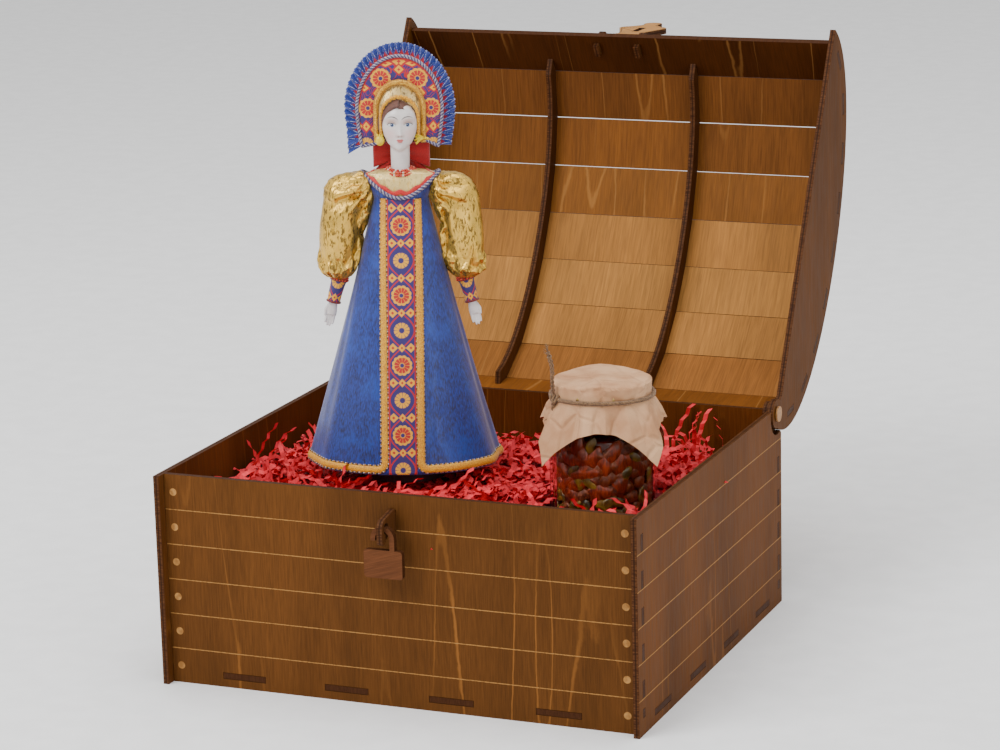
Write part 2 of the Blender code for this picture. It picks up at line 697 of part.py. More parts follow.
def make_head(doll):
    """Neck and head in one; the head sits a little in front of the neck."""
    forward = 0.004
    profile = [(HEAD_HALF_WIDTH * math.cos(angle), HEAD_HEIGHT + HEAD_HALF_HEIGHT * math.sin(angle))
               for angle in (math.radians(90 - 15 * step) for step in range(10))]
    profile[0] = (0.0, HEAD_HEIGHT + HEAD_HALF_HEIGHT)
    profile += [(NECK_RADIUS, HEAD_HEIGHT - HEAD_HALF_HEIGHT * 0.86), (NECK_RADIUS, NECK_HEIGHT + 0.003),
                (NECK_RADIUS + 0.001, NECK_HEIGHT + GAP), (0.0, NECK_HEIGHT + GAP)]

    def lean(point):
        share = min(1.0, max(0.0, (point.z - NECK_HEIGHT) / 0.018))
        return point.x, point.y * mix(1.0, 0.86, share) - forward * share, point.z

    turned("doll_head", profile, PORCELAIN, doll, (0.0, 0.0, 0.0), 28, 1.0, lean)
    hair_inner = (HEAD_HALF_WIDTH + GAP, HEAD_HALF_HEIGHT + GAP)
    hair_outer = (HEAD_HALF_WIDTH + 0.0028, HEAD_HALF_HEIGHT + 0.0036)
    reach = math.radians(20.0)
    angles = [mix(-reach, math.pi + reach, step / 20) for step in range(21)]
    outline = [(hair_outer[0] * math.cos(a), hair_outer[1] * math.sin(a)) for a in angles]
    outline += [(hair_inner[0] * math.cos(a), hair_inner[1] * math.sin(a)) for a in reversed(angles)]
    sheet("doll_hair", [outline], 0.007, BROWN_HAIR, doll, (0.0, -0.0005, HEAD_HEIGHT), FACE_FRONT)


def fan(half_width, top, bottom, taper, steps=28):
    """Headdress outline: a half ellipse on short sides that draw in towards the bottom."""
    spring = HEAD_HEIGHT + 0.012
    points = [(half_width * math.cos(math.pi * step / steps),
               spring + (top - spring) * math.sin(math.pi * step / steps))
              for step in range(steps + 1)]
    return points + [(-half_width + taper, bottom), (half_width - taper, bottom)]


def make_headdress(doll):
    back = 0.0066 + HEADDRESS_THICKNESS / 2
    ruffle = 0.0075
    bottom = NECK_HEIGHT + 0.0150
    inner = fan(HEADDRESS_HALF_WIDTH - ruffle, HEADDRESS_TOP - ruffle, bottom, 0.0035)
    sheet("doll_headdress", [inner], HEADDRESS_THICKNESS, PATTERNED_CLOTH, doll,
          (0.0, back, 0.0), FACE_FRONT)
    clear_inner = fan(HEADDRESS_HALF_WIDTH - ruffle + GAP, HEADDRESS_TOP - ruffle + GAP,
                      bottom, 0.0035 - GAP)
    outer = fan(HEADDRESS_HALF_WIDTH, HEADDRESS_TOP, bottom, 0.0035)
    arch = outer[:-2] + [outer[-2], clear_inner[-2]] + list(reversed(clear_inner[:-2]))
    arch += [clear_inner[-1], outer[-1]]
    sheet("doll_ruffle", [arch], HEADDRESS_THICKNESS + 0.002, BLUE_BROCADE, doll,
          (0.0, back, 0.0), FACE_FRONT)
    bow_top = bottom - 2 * GAP
    bow_low = NECK_HEIGHT - 0.001
    middle = (bow_top + bow_low) / 2
    right = [(0.0, middle - 0.003), (0.017, bow_low), (0.020, middle), (0.017, bow_top), (0.0, middle + 0.003)]
    bow = right + [(-x, z) for x, z in reversed(right[1:-1])]
    sheet("doll_bow", [bow], 0.004, RED_VELVET, doll, (0.0, 0.0092, 0.0), FACE_FRONT)


def make_arms(doll):
    """Puffed sleeve, cuff and hand on each side, each hanging slightly outwards."""
    height = SLEEVE_TOP - SLEEVE_BOTTOM
    puff = ((0.0, 0.30), (0.04, 0.55), (0.12, 0.78), (0.24, 0.94), (0.38, 1.0), (0.52, 0.99),
            (0.66, 0.90), (0.79, 0.745), (0.88, 0.64), (0.95, 0.52), (1.0, 0.38))
    profile = [(0.0, SLEEVE_TOP)]
    profile += [(SLEEVE_HALF_WIDTH * share, SLEEVE_TOP - drop * height) for drop, share in puff]
    profile.append((0.0, SLEEVE_BOTTOM))
    cuff_top = SLEEVE_BOTTOM - GAP
    cuff_low = cuff_top - CUFF_LENGTH
    cuff = [(0.0, cuff_top), (CUFF_RADIUS * 0.92, cuff_top), (CUFF_RADIUS, cuff_top - 0.004),
            (CUFF_RADIUS * 0.8, cuff_low), (0.0, cuff_low)]
    hand_top = cuff_low - GAP
    hand = [(0.0, hand_top), (0.0030, hand_top), (0.0036, hand_top - 0.006),
            (0.0040, hand_top - 0.011), (0.0026, hand_top - HAND_LENGTH + 0.002),
            (0.0, hand_top - HAND_LENGTH)]
    for side, sign in (("left", -1), ("right", 1)):
        def hang(point, sign=sign):
            rise = (point.z - SLEEVE_BOTTOM) / height
            inward = 0.0115 * max(0.0, rise) ** 3
            outward = 0.25 * max(0.0, SLEEVE_BOTTOM - point.z)
            return point.x + sign * (SLEEVE_X + 0.0020 - inward + outward), point.y, point.z
        turned("doll_%s_sleeve" % side, profile, GOLD_BROCADE, doll, (0, 0, 0), 24, 1.08, hang)
        turned("doll_%s_cuff" % side, cuff, PATTERNED_CLOTH, doll, (0, 0, 0), 16, 1.0, hang)
        turned("doll_%s_hand" % side, hand, PORCELAIN, doll, (0, 0, 0), 12, 0.8, hang)


# Jar --------------------------------------------------------------------------------------

def make_jar(chest):
    place = (JAR_X, JAR_Y, 0.0)
    inner = JAR_RADIUS - JAR_WALL
    neck = JAR_NECK_RADIUS
    shoulder_top = JAR_SHOULDER + 0.010
    base = JAR_BOTTOM + 0.003
    glass = [(neck, JAR_TOP), (neck, shoulder_top), (JAR_RADIUS - 0.002, JAR_SHOULDER + 0.004),
             (JAR_RADIUS, JAR_SHOULDER), (JAR_RADIUS, JAR_BOTTOM + 0.003), (JAR_RADIUS - 0.003, JAR_BOTTOM),
             (0.0, JAR_BOTTOM)]
    inside = [(0.0, base), (inner - 0.002, base), (inner, base + 0.002), (inner, JAR_SHOULDER),
              (inner - 0.002, JAR_SHOULDER + 0.004), (neck - JAR_WALL, shoulder_top), (neck - JAR_WALL, JAR_TOP)]
    shape = inside + glass
    turned("jar_glass", shape, GLASS, chest, place, 32)
    full = JAR_SHOULDER - 0.004
    contents = [(0.0, full), (inner - GAP, full), (inner - GAP, base + 0.002 + GAP),
                (inner - 0.002 - GAP, base + GAP), (0.0, base + GAP)]
    turned("jar_contents", contents, HONEY, chest, place, 32)
    cap_top = JAR_TOP + GAP + 0.0012
    bore = CAP_RADIUS - 0.0012
    cap = [(0.0, cap_top), (CAP_RADIUS - 0.001, cap_top), (CAP_RADIUS, cap_top - 0.001),
           (CAP_RADIUS, cap_top - CAP_HEIGHT), (bore, cap_top - CAP_HEIGHT), (bore, JAR_TOP + GAP),
           (0.0, JAR_TOP + GAP)]
    turned("jar_cap", cap, CAP_METAL, chest, place, 32)
    tied = cap_top - 0.0095
    flare = JAR_RADIUS + COVER_CLEARANCE
    cover_in = [(0.0, cap_top + GAP), (CAP_RADIUS + GAP, cap_top + GAP),
                (CAP_RADIUS + GAP, tied - TWINE_RADIUS), (flare - PAPER, tied - COVER_DROP)]
    cover_out = [(flare, tied - COVER_DROP), (CAP_RADIUS + GAP + PAPER, tied - TWINE_RADIUS),
                 (CAP_RADIUS + GAP + PAPER, cap_top + GAP + PAPER / 2),
                 (CAP_RADIUS + GAP, cap_top + GAP + PAPER), (0.0, cap_top + GAP + PAPER)]
    turned("jar_cover", cover_in + cover_out, KRAFT_PAPER, chest, place, 32)
    ring = CAP_RADIUS + 2 * GAP + PAPER + TWINE_RADIUS
    twine = circle((ring, tied), TWINE_RADIUS, 8)
    turned("jar_twine", twine, TWINE, chest, place, 40)


# Paper shred ------------------------------------------------------------------------------

def make_shred(chest):
    """Heap that fills the chest, banked at the walls and hollowed round the jar."""
    low = FLOOR_UNDERSIDE + PLY + GAP
    half = side_inner() - 2 * GAP
    front = front_plane() + PLY / 2 + 2 * GAP
    back = back_plane() - PLY / 2 - 2 * GAP
    level = low + SHRED_DEPTH
    seat = level - (JAR_BOTTOM - JAR_SEAT_GAP)
    shape = bmesh.new()
    bmesh.ops.create_grid(shape, x_segments=22, y_segments=18, size=1.0)
    for vert in shape.verts:
        x, y = vert.co.x * half, mix(front, back, (vert.co.y + 1) / 2)
        left_bank = 0.012 * max(0.0, (-x - 0.100) / (half - 0.100)) * max(0.0, 1 - y / 0.230)
        right_bank = 0.020 * max(0.0, (x - 0.020) / half) * max(0.0, 1 - (y - front) / 0.070)
        back_fall = 0.004 * max(0.0, (y - 0.200) / (back - 0.200))
        near_jar = math.dist((x, y), (JAR_X, JAR_Y)) - JAR_RADIUS
        hollow = seat * min(1.0, max(0.0, 1.0 - (near_jar - 0.012) / 0.018))
        vert.co = (x, y, level + left_bank + right_bank - back_fall - hollow)
    base = bmesh.ops.extrude_face_region(shape, geom=shape.faces[:])
    for vert in (item for item in base["geom"] if isinstance(item, bmesh.types.BMVert)):
        vert.co.z = low
    bottom = [face for face in shape.faces if all(abs(v.co.z - low) < 1e-6 for v in face.verts)]
    bmesh.ops.dissolve_faces(shape, faces=bottom)
    bmesh.ops.recalc_face_normals(shape, faces=shape.faces)
    mesh = bpy.data.meshes.new("shred_fill")
    shape.to_mesh(mesh)
    shape.free()
    add_object("shred_fill", mesh, RED_PAPER, chest)


def model_box():
    """Lowest and highest corners of everything that is part of the model."""
    bpy.context.view_layer.update()
    corners = [piece.matrix_world @ Vector(corner)
               for piece in MODEL.objects if piece.type == "MESH" for corner in piece.bound_box]
    return [(min(c[axis] for c in corners), max(c[axis] for c in corners)) for axis in range(3)]


for leftover in list(bpy.data.objects):
    bpy.data.objects.remove(leftover)
MODEL = collection("gift_chest")
WALNUT = material("walnut_ply", (0.205, 0.085, 0.024), 0.55)
PALE_WALNUT = material("pale_walnut_ply", (0.240, 0.095, 0.040), 0.60)
DARK_EDGE = material("dark_wood", (0.045, 0.020, 0.010), 0.60)
BLUE_BROCADE = material("blue_brocade", (0.008, 0.060, 0.290), 0.45)
GOLD_BROCADE = material("gold_brocade", (0.560, 0.400, 0.170), 0.35)
PATTERNED_CLOTH = material("patterned_cloth", (0.180, 0.030, 0.060), 0.60)
RED_VELVET = material("red_velvet", (0.420, 0.010, 0.012), 0.80)
PORCELAIN = material("porcelain", (0.760, 0.720, 0.700), 0.30)
BROWN_HAIR = material("brown_hair", (0.090, 0.035, 0.018), 0.50)
BLACK = material("black_stand", (0.012, 0.010, 0.012), 0.50)
GLASS = material("clear_glass", (0.800, 0.820, 0.800), 0.05)
HONEY = material("nuts_in_honey", (0.240, 0.070, 0.015), 0.30)
CAP_METAL = material("cap_metal", (0.600, 0.520, 0.300), 0.30, 1.0)
KRAFT_PAPER = material("kraft_paper", (0.500, 0.300, 0.200), 0.80)
TWINE = material("twine", (0.360, 0.240, 0.120), 0.85)
RED_PAPER = material("red_paper", (0.500, 0.008, 0.020), 0.60)

chest_frame = empty("chest", (0.0, 0.0, 0.0))
rear_tabs = make_front_and_back(chest_frame)
make_sides(chest_frame, rear_tabs)
make_floor(chest_frame)
make_hinges(chest_frame)
make_padlock(chest_frame, make_hasp(chest_frame))
make_shred(chest_frame)
make_jar(chest_frame)

hinge_y, hinge_z = pivot_point()
lid_frame = empty("lid_hinge", (0.0, hinge_y, hinge_z), (-LID_OPEN, 0.0, 0.0), chest_frame)
board_lines, board_headings = make_boards(lid_frame)
make_lid_ends(lid_frame, board_lines, board_headings)
make_ribs(lid_frame, board_lines, board_headings)
peg_place, plate_axis = lock_axis(board_lines, board_headings)
make_lock_hooks(lid_frame, peg_place, board_headings[0])
make_lock_plate(lid_frame, plate_axis)

doll_centre = doll_frame(chest_frame)
make_stand(doll_centre)
make_dress(doll_centre)
make_head(doll_centre)
make_headdress(doll_centre)
make_arms(doll_centre)

# The origin is under the middle of the whole open model.
box_x, box_y, box_z = model_box()
chest_frame.location = (-sum(box_x) / 2, -sum(box_y) / 2, -box_z[0])
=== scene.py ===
import json
import math
import random

import bmesh
import bpy
from mathutils import Matrix, Vector


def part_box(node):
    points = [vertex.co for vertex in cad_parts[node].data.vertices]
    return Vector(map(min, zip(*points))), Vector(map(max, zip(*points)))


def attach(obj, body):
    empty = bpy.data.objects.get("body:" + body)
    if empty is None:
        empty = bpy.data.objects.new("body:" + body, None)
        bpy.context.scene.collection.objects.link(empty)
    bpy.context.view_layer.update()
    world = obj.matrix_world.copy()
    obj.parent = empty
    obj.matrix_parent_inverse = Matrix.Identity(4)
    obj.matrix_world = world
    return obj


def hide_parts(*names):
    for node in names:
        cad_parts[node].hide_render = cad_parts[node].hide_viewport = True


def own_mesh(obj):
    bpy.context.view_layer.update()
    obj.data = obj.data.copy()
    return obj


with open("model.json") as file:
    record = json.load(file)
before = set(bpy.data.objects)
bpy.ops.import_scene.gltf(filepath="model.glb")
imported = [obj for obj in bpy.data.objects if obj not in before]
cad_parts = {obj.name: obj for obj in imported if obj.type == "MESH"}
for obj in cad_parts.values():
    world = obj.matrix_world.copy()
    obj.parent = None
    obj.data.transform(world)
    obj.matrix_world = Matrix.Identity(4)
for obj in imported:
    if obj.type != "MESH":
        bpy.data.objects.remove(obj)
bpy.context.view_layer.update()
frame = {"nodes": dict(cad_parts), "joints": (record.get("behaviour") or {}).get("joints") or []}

chance = random.Random(7)
nodes = frame["nodes"]
print("frame loaded,", len(nodes), "nodes")

# Camera: a long lens from the right and a little above

cameraSettings = {
    "place": (0.83714, -2.07513, 0.71638),
    "lens": 116.6,
    "across": (0.925422, 0.378123, -0.024839),
    "up": (-0.068074, 0.230370, 0.970719),
}


def makeCamera():
    across = Vector(cameraSettings["across"]).normalized()
    up = Vector(cameraSettings["up"]).normalized()
    back = across.cross(up)
    turn = Matrix((across, up, back)).transposed().to_4x4()
    data = bpy.data.cameras.new("camera")
    data.lens = cameraSettings["lens"]
    data.sensor_width = 36.0
    data.clip_end = 20.0
    camera = bpy.data.objects.new("camera", data)
    camera.matrix_world = Matrix.Translation(cameraSettings["place"]) @ turn
    bpy.context.scene.collection.objects.link(camera)
    bpy.context.scene.camera = camera


makeCamera()

# Small helpers for materials

mm = 0.001


def newMaterial(name, roughness=0.5, metallic=0.0, sheen=0.0, specular=0.5):
    material = bpy.data.materials.new(name)
    material.use_nodes = True
    shader = material.node_tree.nodes["Principled BSDF"]
    shader.inputs["Roughness"].default_value = roughness
    shader.inputs["Metallic"].default_value = metallic
    shader.inputs["Sheen Weight"].default_value = sheen
    shader.inputs["Specular IOR Level"].default_value = specular
    return material


def addNode(tree, kind, feeds=None, **settings):
    node = tree.nodes.new(kind)
    for name, value in settings.items():
        setattr(node, name, value)
    for name, value in (feeds or {}).items():
        if isinstance(value, bpy.types.NodeSocket):
            tree.links.new(value, node.inputs[name])
        else:
            node.inputs[name].default_value = value
    return node


def calc(tree, operation, a, b=0.0, c=0.0, clamp=False):
    feeds = {0: a, 1: b, 2: c}
    return addNode(tree, "ShaderNodeMath", feeds, operation=operation, use_clamp=clamp).outputs[0]


def times(tree, a, b):
    return calc(tree, "MULTIPLY", a, b)


def plus(tree, a, b):
    return calc(tree, "ADD", a, b)


def minus(tree, a, b):
    return calc(tree, "SUBTRACT", a, b)


def over(tree, a, b):
    return calc(tree, "DIVIDE", a, b)


def unsigned(tree, a):
    return calc(tree, "ABSOLUTE", a)


def root(tree, a):
    return calc(tree, "SQRT", a)


def fade(tree, value, low, high, start=0.0, end=1.0):
    feeds = {"Value": value, "From Min": low, "From Max": high, "To Min": start, "To Max": end}
    return addNode(tree, "ShaderNodeMapRange", feeds, interpolation_type="SMOOTHSTEP").outputs[0]


def blendColour(tree, share, a, b, mode="MIX"):
    node = tree.nodes.new("ShaderNodeMix")
    node.data_type = "RGBA"
    node.blend_type = mode
    for socket, value in ((node.inputs[0], share), (node.inputs[6], a), (node.inputs[7], b)):
        if isinstance(value, bpy.types.NodeSocket):
            tree.links.new(value, socket)
        elif hasattr(value, "__len__"):
            socket.default_value = (*value[:3], 1.0)
        else:
            socket.default_value = value
    return node.outputs[2]


def noise(tree, point, scale, detail=2.0, rough=0.5):
    feeds = {"Vector": point, "Scale": scale, "Detail": detail, "Roughness": rough}
    return addNode(tree, "ShaderNodeTexNoise", feeds).outputs["Fac"]


def stretch(tree, point, scale, place=(0, 0, 0), turn=(0, 0, 0), kind="POINT"):
    feeds = {"Vector": point, "Scale": scale, "Rotation": turn}
    if kind in ("POINT", "TEXTURE"):
        feeds["Location"] = place
    return addNode(tree, "ShaderNodeMapping", feeds, vector_type=kind).outputs[0]


def split(tree, point):
    return addNode(tree, "ShaderNodeSeparateXYZ", {0: point}).outputs


def join(tree, x, y, z):
    return addNode(tree, "ShaderNodeCombineXYZ", {0: x, 1: y, 2: z}).outputs[0]


def objectPoint(tree):
    return addNode(tree, "ShaderNodeTexCoord").outputs["Object"]


def bumps(tree, height, strength=0.3, depth=0.0004):
    feeds = {"Height": height, "Strength": strength, "Distance": depth}
    return addNode(tree, "ShaderNodeBump", feeds).outputs[0]


def wire(material, **sockets):
    shader = material.node_tree.nodes["Principled BSDF"]
    names = {"colour": "Base Color", "roughness": "Roughness", "normal": "Normal",
             "metallic": "Metallic", "alpha": "Alpha"}
    for name, socket in sockets.items():
        material.node_tree.links.new(socket, shader.inputs[names[name]])


def srgb(r, g, b):
    # the paint that looks like this 0..255 colour under the studio light below
    linear = [(c / 255 / 12.92) if c <= 10 else ((c / 255 + 0.055) / 1.055) ** 2.4
              for c in (r, g, b)]
    return tuple((c / 0.93) ** 1.245 / 1.35 for c in linear)


def mottled(name, scale, detail, span, dark, light, **settings):
    # a plain material that drifts between two tones
    material = newMaterial(name, **settings)
    tree = material.node_tree
    grain = noise(tree, objectPoint(tree), scale, detail)
    wire(material, colour=blendColour(tree, fade(tree, grain, *span), dark, light))
    return material


# Plywood: the grain runs one way on a sheet's faces, and its cut edges show burnt plies

plySettings = {
    "edgeLight": srgb(120, 82, 52),
    "edgeDark": srgb(84, 54, 34),
    "glue": srgb(62, 40, 28),
}


def sheetFacing(node):
    # the direction that most of a flat piece's surface looks along
    total = {}
    for polygon in node.data.polygons:
        normal = polygon.normal.copy()
        if max(normal, key=abs) < 0:
            normal.negate()
        key = tuple(round(value, 1) for value in normal)
        area, _ = total.get(key, (0.0, None))
        total[key] = (area + polygon.area, normal)
    return max(total.values(), key=lambda item: item[0])[1].normalized()


def plyMaterial(name, node, tone, veins, grain=(0, 0, 1), seed=0.0, lines=None, discs=None,
                veinTone=srgb(176, 124, 68), fine=0.14):
    material = newMaterial(name, roughness=0.66, specular=0.06)
    tree = material.node_tree
    facing = sheetFacing(node)
    along = (Vector(grain) - facing * Vector(grain).dot(facing)).normalized()
    across = along.cross(facing)
    low, high = (Vector(corner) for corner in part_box(node.name))
    middle = (low + high) / 2
    turn = Matrix((across, facing, along)).to_euler()
    shift = Matrix((across, facing, along)) @ -middle
    raw = addNode(tree, "ShaderNodeTexCoord")
    point = stretch(tree, raw.outputs["Object"], (1, 1, 1), shift, turn)
    looks = stretch(tree, raw.outputs["Normal"], (1, 1, 1), turn=turn, kind="VECTOR")
    depth = unsigned(tree, split(tree, point)[1])
    edge = fade(tree, unsigned(tree, split(tree, looks)[1]), 0.75, 0.45)
    offset = (seed * 0.37, seed * 0.11, seed * 0.53)
    fibres = noise(tree, stretch(tree, point, (1, 0.05, 0.030), offset), 1500.0, 2.0, 0.6)
    pores = noise(tree, stretch(tree, point, (1, 0.05, 0.08), offset), 640.0, 3.0, 0.55)
    broad = noise(tree, stretch(tree, point, (1, 0.2, 0.16), offset), 26.0, 3.0, 0.55)
    cloud = noise(tree, stretch(tree, point, (1, 0.2, 0.7), offset), 9.0, 2.0, 0.5)
    figure = noise(tree, stretch(tree, point, (1, 0.1, 0.085), offset), 20.0, 1.0, 0.35)
    wander = noise(tree, stretch(tree, point, (1, 0.1, 0.5), offset), 160.0, 2.0, 0.6)
    figure = calc(tree, "MULTIPLY_ADD", wander, 0.012, figure)
    dark = tuple(c * 0.62 for c in tone)
    light = tuple(min(1.0, c * 1.42) for c in tone)
    wood = blendColour(tree, fade(tree, broad, 0.25, 0.75), dark, light)
    wood = blendColour(tree, 0.50, wood, tone)
    wood = blendColour(tree, fade(tree, cloud, 0.35, 0.75, 0.0, 0.34), wood, dark)
    streak = fade(tree, fibres, 0.30, 0.70, -fine, fine)
    lift = plus(tree, 1.0, plus(tree, streak, fade(tree, pores, 0.3, 0.7, -0.10, 0.10)))
    wood = blendColour(tree, 1.0, wood, join(tree, lift, lift, lift), "MULTIPLY")
    vein = 0.0
    for level, strength in ((0.45, 0.8), (0.56, 0.8)):
        gap = unsigned(tree, minus(tree, figure, level))
        mark = times(tree, fade(tree, gap, 0.0060, 0.0008), strength * veins)
        vein = mark if isinstance(vein, float) else calc(tree, "MAXIMUM", vein, mark)
    vein = times(tree, vein, fade(tree, cloud, 0.40, 0.62))
    wood = blendColour(tree, vein, wood, veinTone)
    height = calc(tree, "MULTIPLY_ADD", pores, 0.4, fibres)
    rawParts = split(tree, raw.outputs["Object"])
    if lines:
        pitch, top, outward = lines
        upper = calc(tree, "MODULO", plus(tree, rawParts[2], pitch / 2), pitch)
        gap = unsigned(tree, minus(tree, upper, pitch / 2))
        broken = noise(tree, raw.outputs["Object"], 700.0, 1.0)
        width = fade(tree, broken, 0.30, 0.60, 0.00022, 0.00044)
        near = minus(tree, 1.0, fade(tree, over(tree, gap, width), 0.65, 1.0))
        inside = times(tree, calc(tree, "GREATER_THAN", rawParts[2], pitch / 2),
                      calc(tree, "LESS_THAN", rawParts[2], top - pitch / 2))
        face = calc(tree, "GREATER_THAN", split(tree, raw.outputs["Normal"])[outward[0]],
                    0.5) if outward[1] > 0 else calc(
            tree, "LESS_THAN", split(tree, raw.outputs["Normal"])[outward[0]], -0.5)
        cut = times(tree, times(tree, near, inside), face)
        wood = blendColour(tree, times(tree, cut, 0.80), wood, srgb(196, 152, 96))
        height = minus(tree, height, times(tree, cut, 2.5))
        if discs:
            x0, radius = discs
            dx = minus(tree, unsigned(tree, rawParts[0]), x0)
            level = minus(tree, calc(tree, "MODULO", rawParts[2], pitch), pitch / 2)
            away = addNode(tree, "ShaderNodeVectorMath", {0: join(tree, dx, level, 0.0)},
                           operation="LENGTH").outputs["Value"]
            disc = times(tree, fade(tree, away, radius, radius - 0.0003), face)
            smudge = noise(tree, raw.outputs["Object"], 260.0, 2.0)
            tan = blendColour(tree, fade(tree, smudge, 0.3, 0.7), srgb(170, 126, 76),
                              srgb(204, 160, 104))
            wood = blendColour(tree, disc, wood, tan)
            height = minus(tree, height, times(tree, disc, 1.5))
    # cut edge: a dark glue line in the middle, scorched skins and saw-fine ridges
    ridge = noise(tree, stretch(tree, point, (1, 0.12, 1), offset), 1500.0, 1.0, 0.5)
    burn = blendColour(tree, fade(tree, ridge, 0.30, 0.72), plySettings["edgeDark"],
                       plySettings["edgeLight"])
    core = fade(tree, depth, 0.0007, 0.0004)
    burn = blendColour(tree, times(tree, core, 0.75), burn, plySettings["glue"])
    rim = fade(tree, depth, 0.0016, 0.0020)
    burn = blendColour(tree, times(tree, rim, 0.7), burn, plySettings["edgeDark"])
    wood = blendColour(tree, edge, wood, burn)
    height = calc(tree, "MULTIPLY_ADD", edge, times(tree, ridge, 2.0), height)
    wire(material, colour=wood, normal=bumps(tree, height, 0.22, 0.00025),
         roughness=fade(tree, pores, 0.2, 0.8, 0.48, 0.64))
    return material


def finish(node, material):
    node.data.materials.clear()
    node.data.materials.append(material)


frontTone = srgb(118, 80, 42)
sideTone = srgb(120, 78, 34)
# plywood tone per lid board, with painted light: the front board, facing down, is painted darker as
# shade, and the lower slats are painted lighter where the light falls on them
lidToneAndShade = [srgb(92, 56, 26), srgb(132, 88, 46), srgb(142, 96, 50), srgb(156, 108, 56),
            srgb(180, 132, 76), srgb(188, 140, 82), srgb(182, 134, 78), srgb(164, 114, 62),
            srgb(146, 96, 48)]


def paintWood():
    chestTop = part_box("front_panel")[1].z
    pitch = chestTop / 6
    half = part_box("front_panel")[1].x
    lines = (pitch, chestTop)
    plain = {
        "back_panel": (srgb(118, 74, 34), (0, 0, 1)),
        "bottom_panel": (srgb(120, 80, 40), (0, 1, 0)),
        "left_hinge_cheek": (frontTone, (0, 0, 1)),
        "right_hinge_cheek": (frontTone, (0, 0, 1)),
        "lid_left_end": (srgb(112, 74, 32), (0, 0, 1)),
        "lid_right_end": (srgb(112, 72, 26), (0, 0, 1)),
        "lid_left_rib": (srgb(104, 68, 38), (0, 0, 1)),
        "lid_right_rib": (srgb(104, 68, 38), (0, 0, 1)),
        "padlock_hook": (srgb(108, 72, 42), (0, 0, 1)),
        "lock_hook_left": (srgb(110, 74, 42), (0, 0, 1)),
        "lock_hook_right": (srgb(110, 74, 42), (0, 0, 1)),
        "padlock": (srgb(120, 80, 54), (1, 0, 0.3)),
        "lock_plate": (srgb(196, 148, 90), (1, 0, 0)),
    }
    finish(nodes["front_panel"], plyMaterial("frontPly", nodes["front_panel"], frontTone, 0.85,
           seed=3.0, lines=(*lines, (1, -1)), discs=(half - 0.0105, 0.0027)))
    finish(nodes["left_side_panel"], plyMaterial("leftSidePly", nodes["left_side_panel"],
           srgb(118, 78, 42), 0.3, seed=5.0, lines=(*lines, (0, -1))))
    finish(nodes["right_side_panel"], plyMaterial("rightSidePly", nodes["right_side_panel"],
           sideTone, 0.35, seed=8.0, lines=(*lines, (0, 1))))
    for index, name in enumerate(["lid_front_board"] + ["lid_slat_%d" % n for n in range(1, 9)]):
        finish(nodes[name], plyMaterial(name + "Ply", nodes[name], lidToneAndShade[index], 0.40,
               seed=11.0 + 2.3 * index, veinTone=srgb(206, 156, 94)))
    for index, (name, (tone, grain)) in enumerate(plain.items()):
        finish(nodes[name], plyMaterial(name + "Ply", nodes[name], tone, 0.35, grain,
               seed=40.0 + 1.7 * index))


paintWood()
print("plywood done")

# Helpers for shaping pieces


def gather(*shapes):
    whole = bmesh.new()
    for shape in shapes:
        part = bpy.data.meshes.new("part")
        shape.to_mesh(part)
        shape.free()
        whole.from_mesh(part)
        bpy.data.meshes.remove(part)
    return whole


def formSheet(columns, rows, place, closed=False):
    # a grid whose corners run 0..1 across and along, laid where place(u, v) says
    shape = bmesh.new()
    layer = shape.loops.layers.uv.new("cloth")
    bmesh.ops.create_grid(shape, x_segments=columns, y_segments=rows, size=0.5)
    spots = {vert: (vert.co.x + 0.5, vert.co.y + 0.5) for vert in shape.verts}
    for face in shape.faces:
        for loop in face.loops:
            loop[layer].uv = spots[loop.vert]
    for vert, (u, v) in spots.items():
        vert.co = place(u, v)
    if closed:
        bmesh.ops.remove_doubles(shape, verts=shape.verts, dist=1e-6)
    return shape


def thicken(shape, thickness):
    bmesh.ops.recalc_face_normals(shape, faces=shape.faces)
    bmesh.ops.solidify(shape, geom=shape.faces[:], thickness=thickness)
    if shape.calc_volume(signed=True) < 0:
        bmesh.ops.reverse_faces(shape, faces=shape.faces[:])
    return shape


def seal(shape):
    bmesh.ops.holes_fill(shape, edges=shape.edges[:], sides=0)
    bmesh.ops.recalc_face_normals(shape, faces=shape.faces)
    if shape.calc_volume(signed=True) < 0:
        bmesh.ops.reverse_faces(shape, faces=shape.faces[:])
    return shape


def sweptCord(points, radius, sides=3, closed=False, radii=None):
    # a round bar along a line of points, as a mesh
    line = bpy.data.curves.new("line", "CURVE")
    line.dimensions = "3D"
    line.bevel_depth = radius
    line.bevel_resolution = sides
    line.use_fill_caps = True
    spline = line.splines.new("POLY")
    spline.points.add(len(points) - 1)
    for index, point in enumerate(points):
        spline.points[index].co = (*point, 1.0)
        spline.points[index].radius = radii[index] if radii else 1.0
    spline.use_cyclic_u = closed
    holder = bpy.data.objects.new("line", line)
    bpy.context.scene.collection.objects.link(holder)
    graph = bpy.context.evaluated_depsgraph_get()
    mesh = bpy.data.meshes.new_from_object(holder.evaluated_get(graph))
    bpy.data.objects.remove(holder)
    bpy.data.curves.remove(line)
    shape = bmesh.new()
    shape.from_mesh(mesh)
    bpy.data.meshes.remove(mesh)
    bmesh.ops.remove_doubles(shape, verts=shape.verts, dist=1e-7)
    bmesh.ops.recalc_face_normals(shape, faces=shape.faces)
    return shape


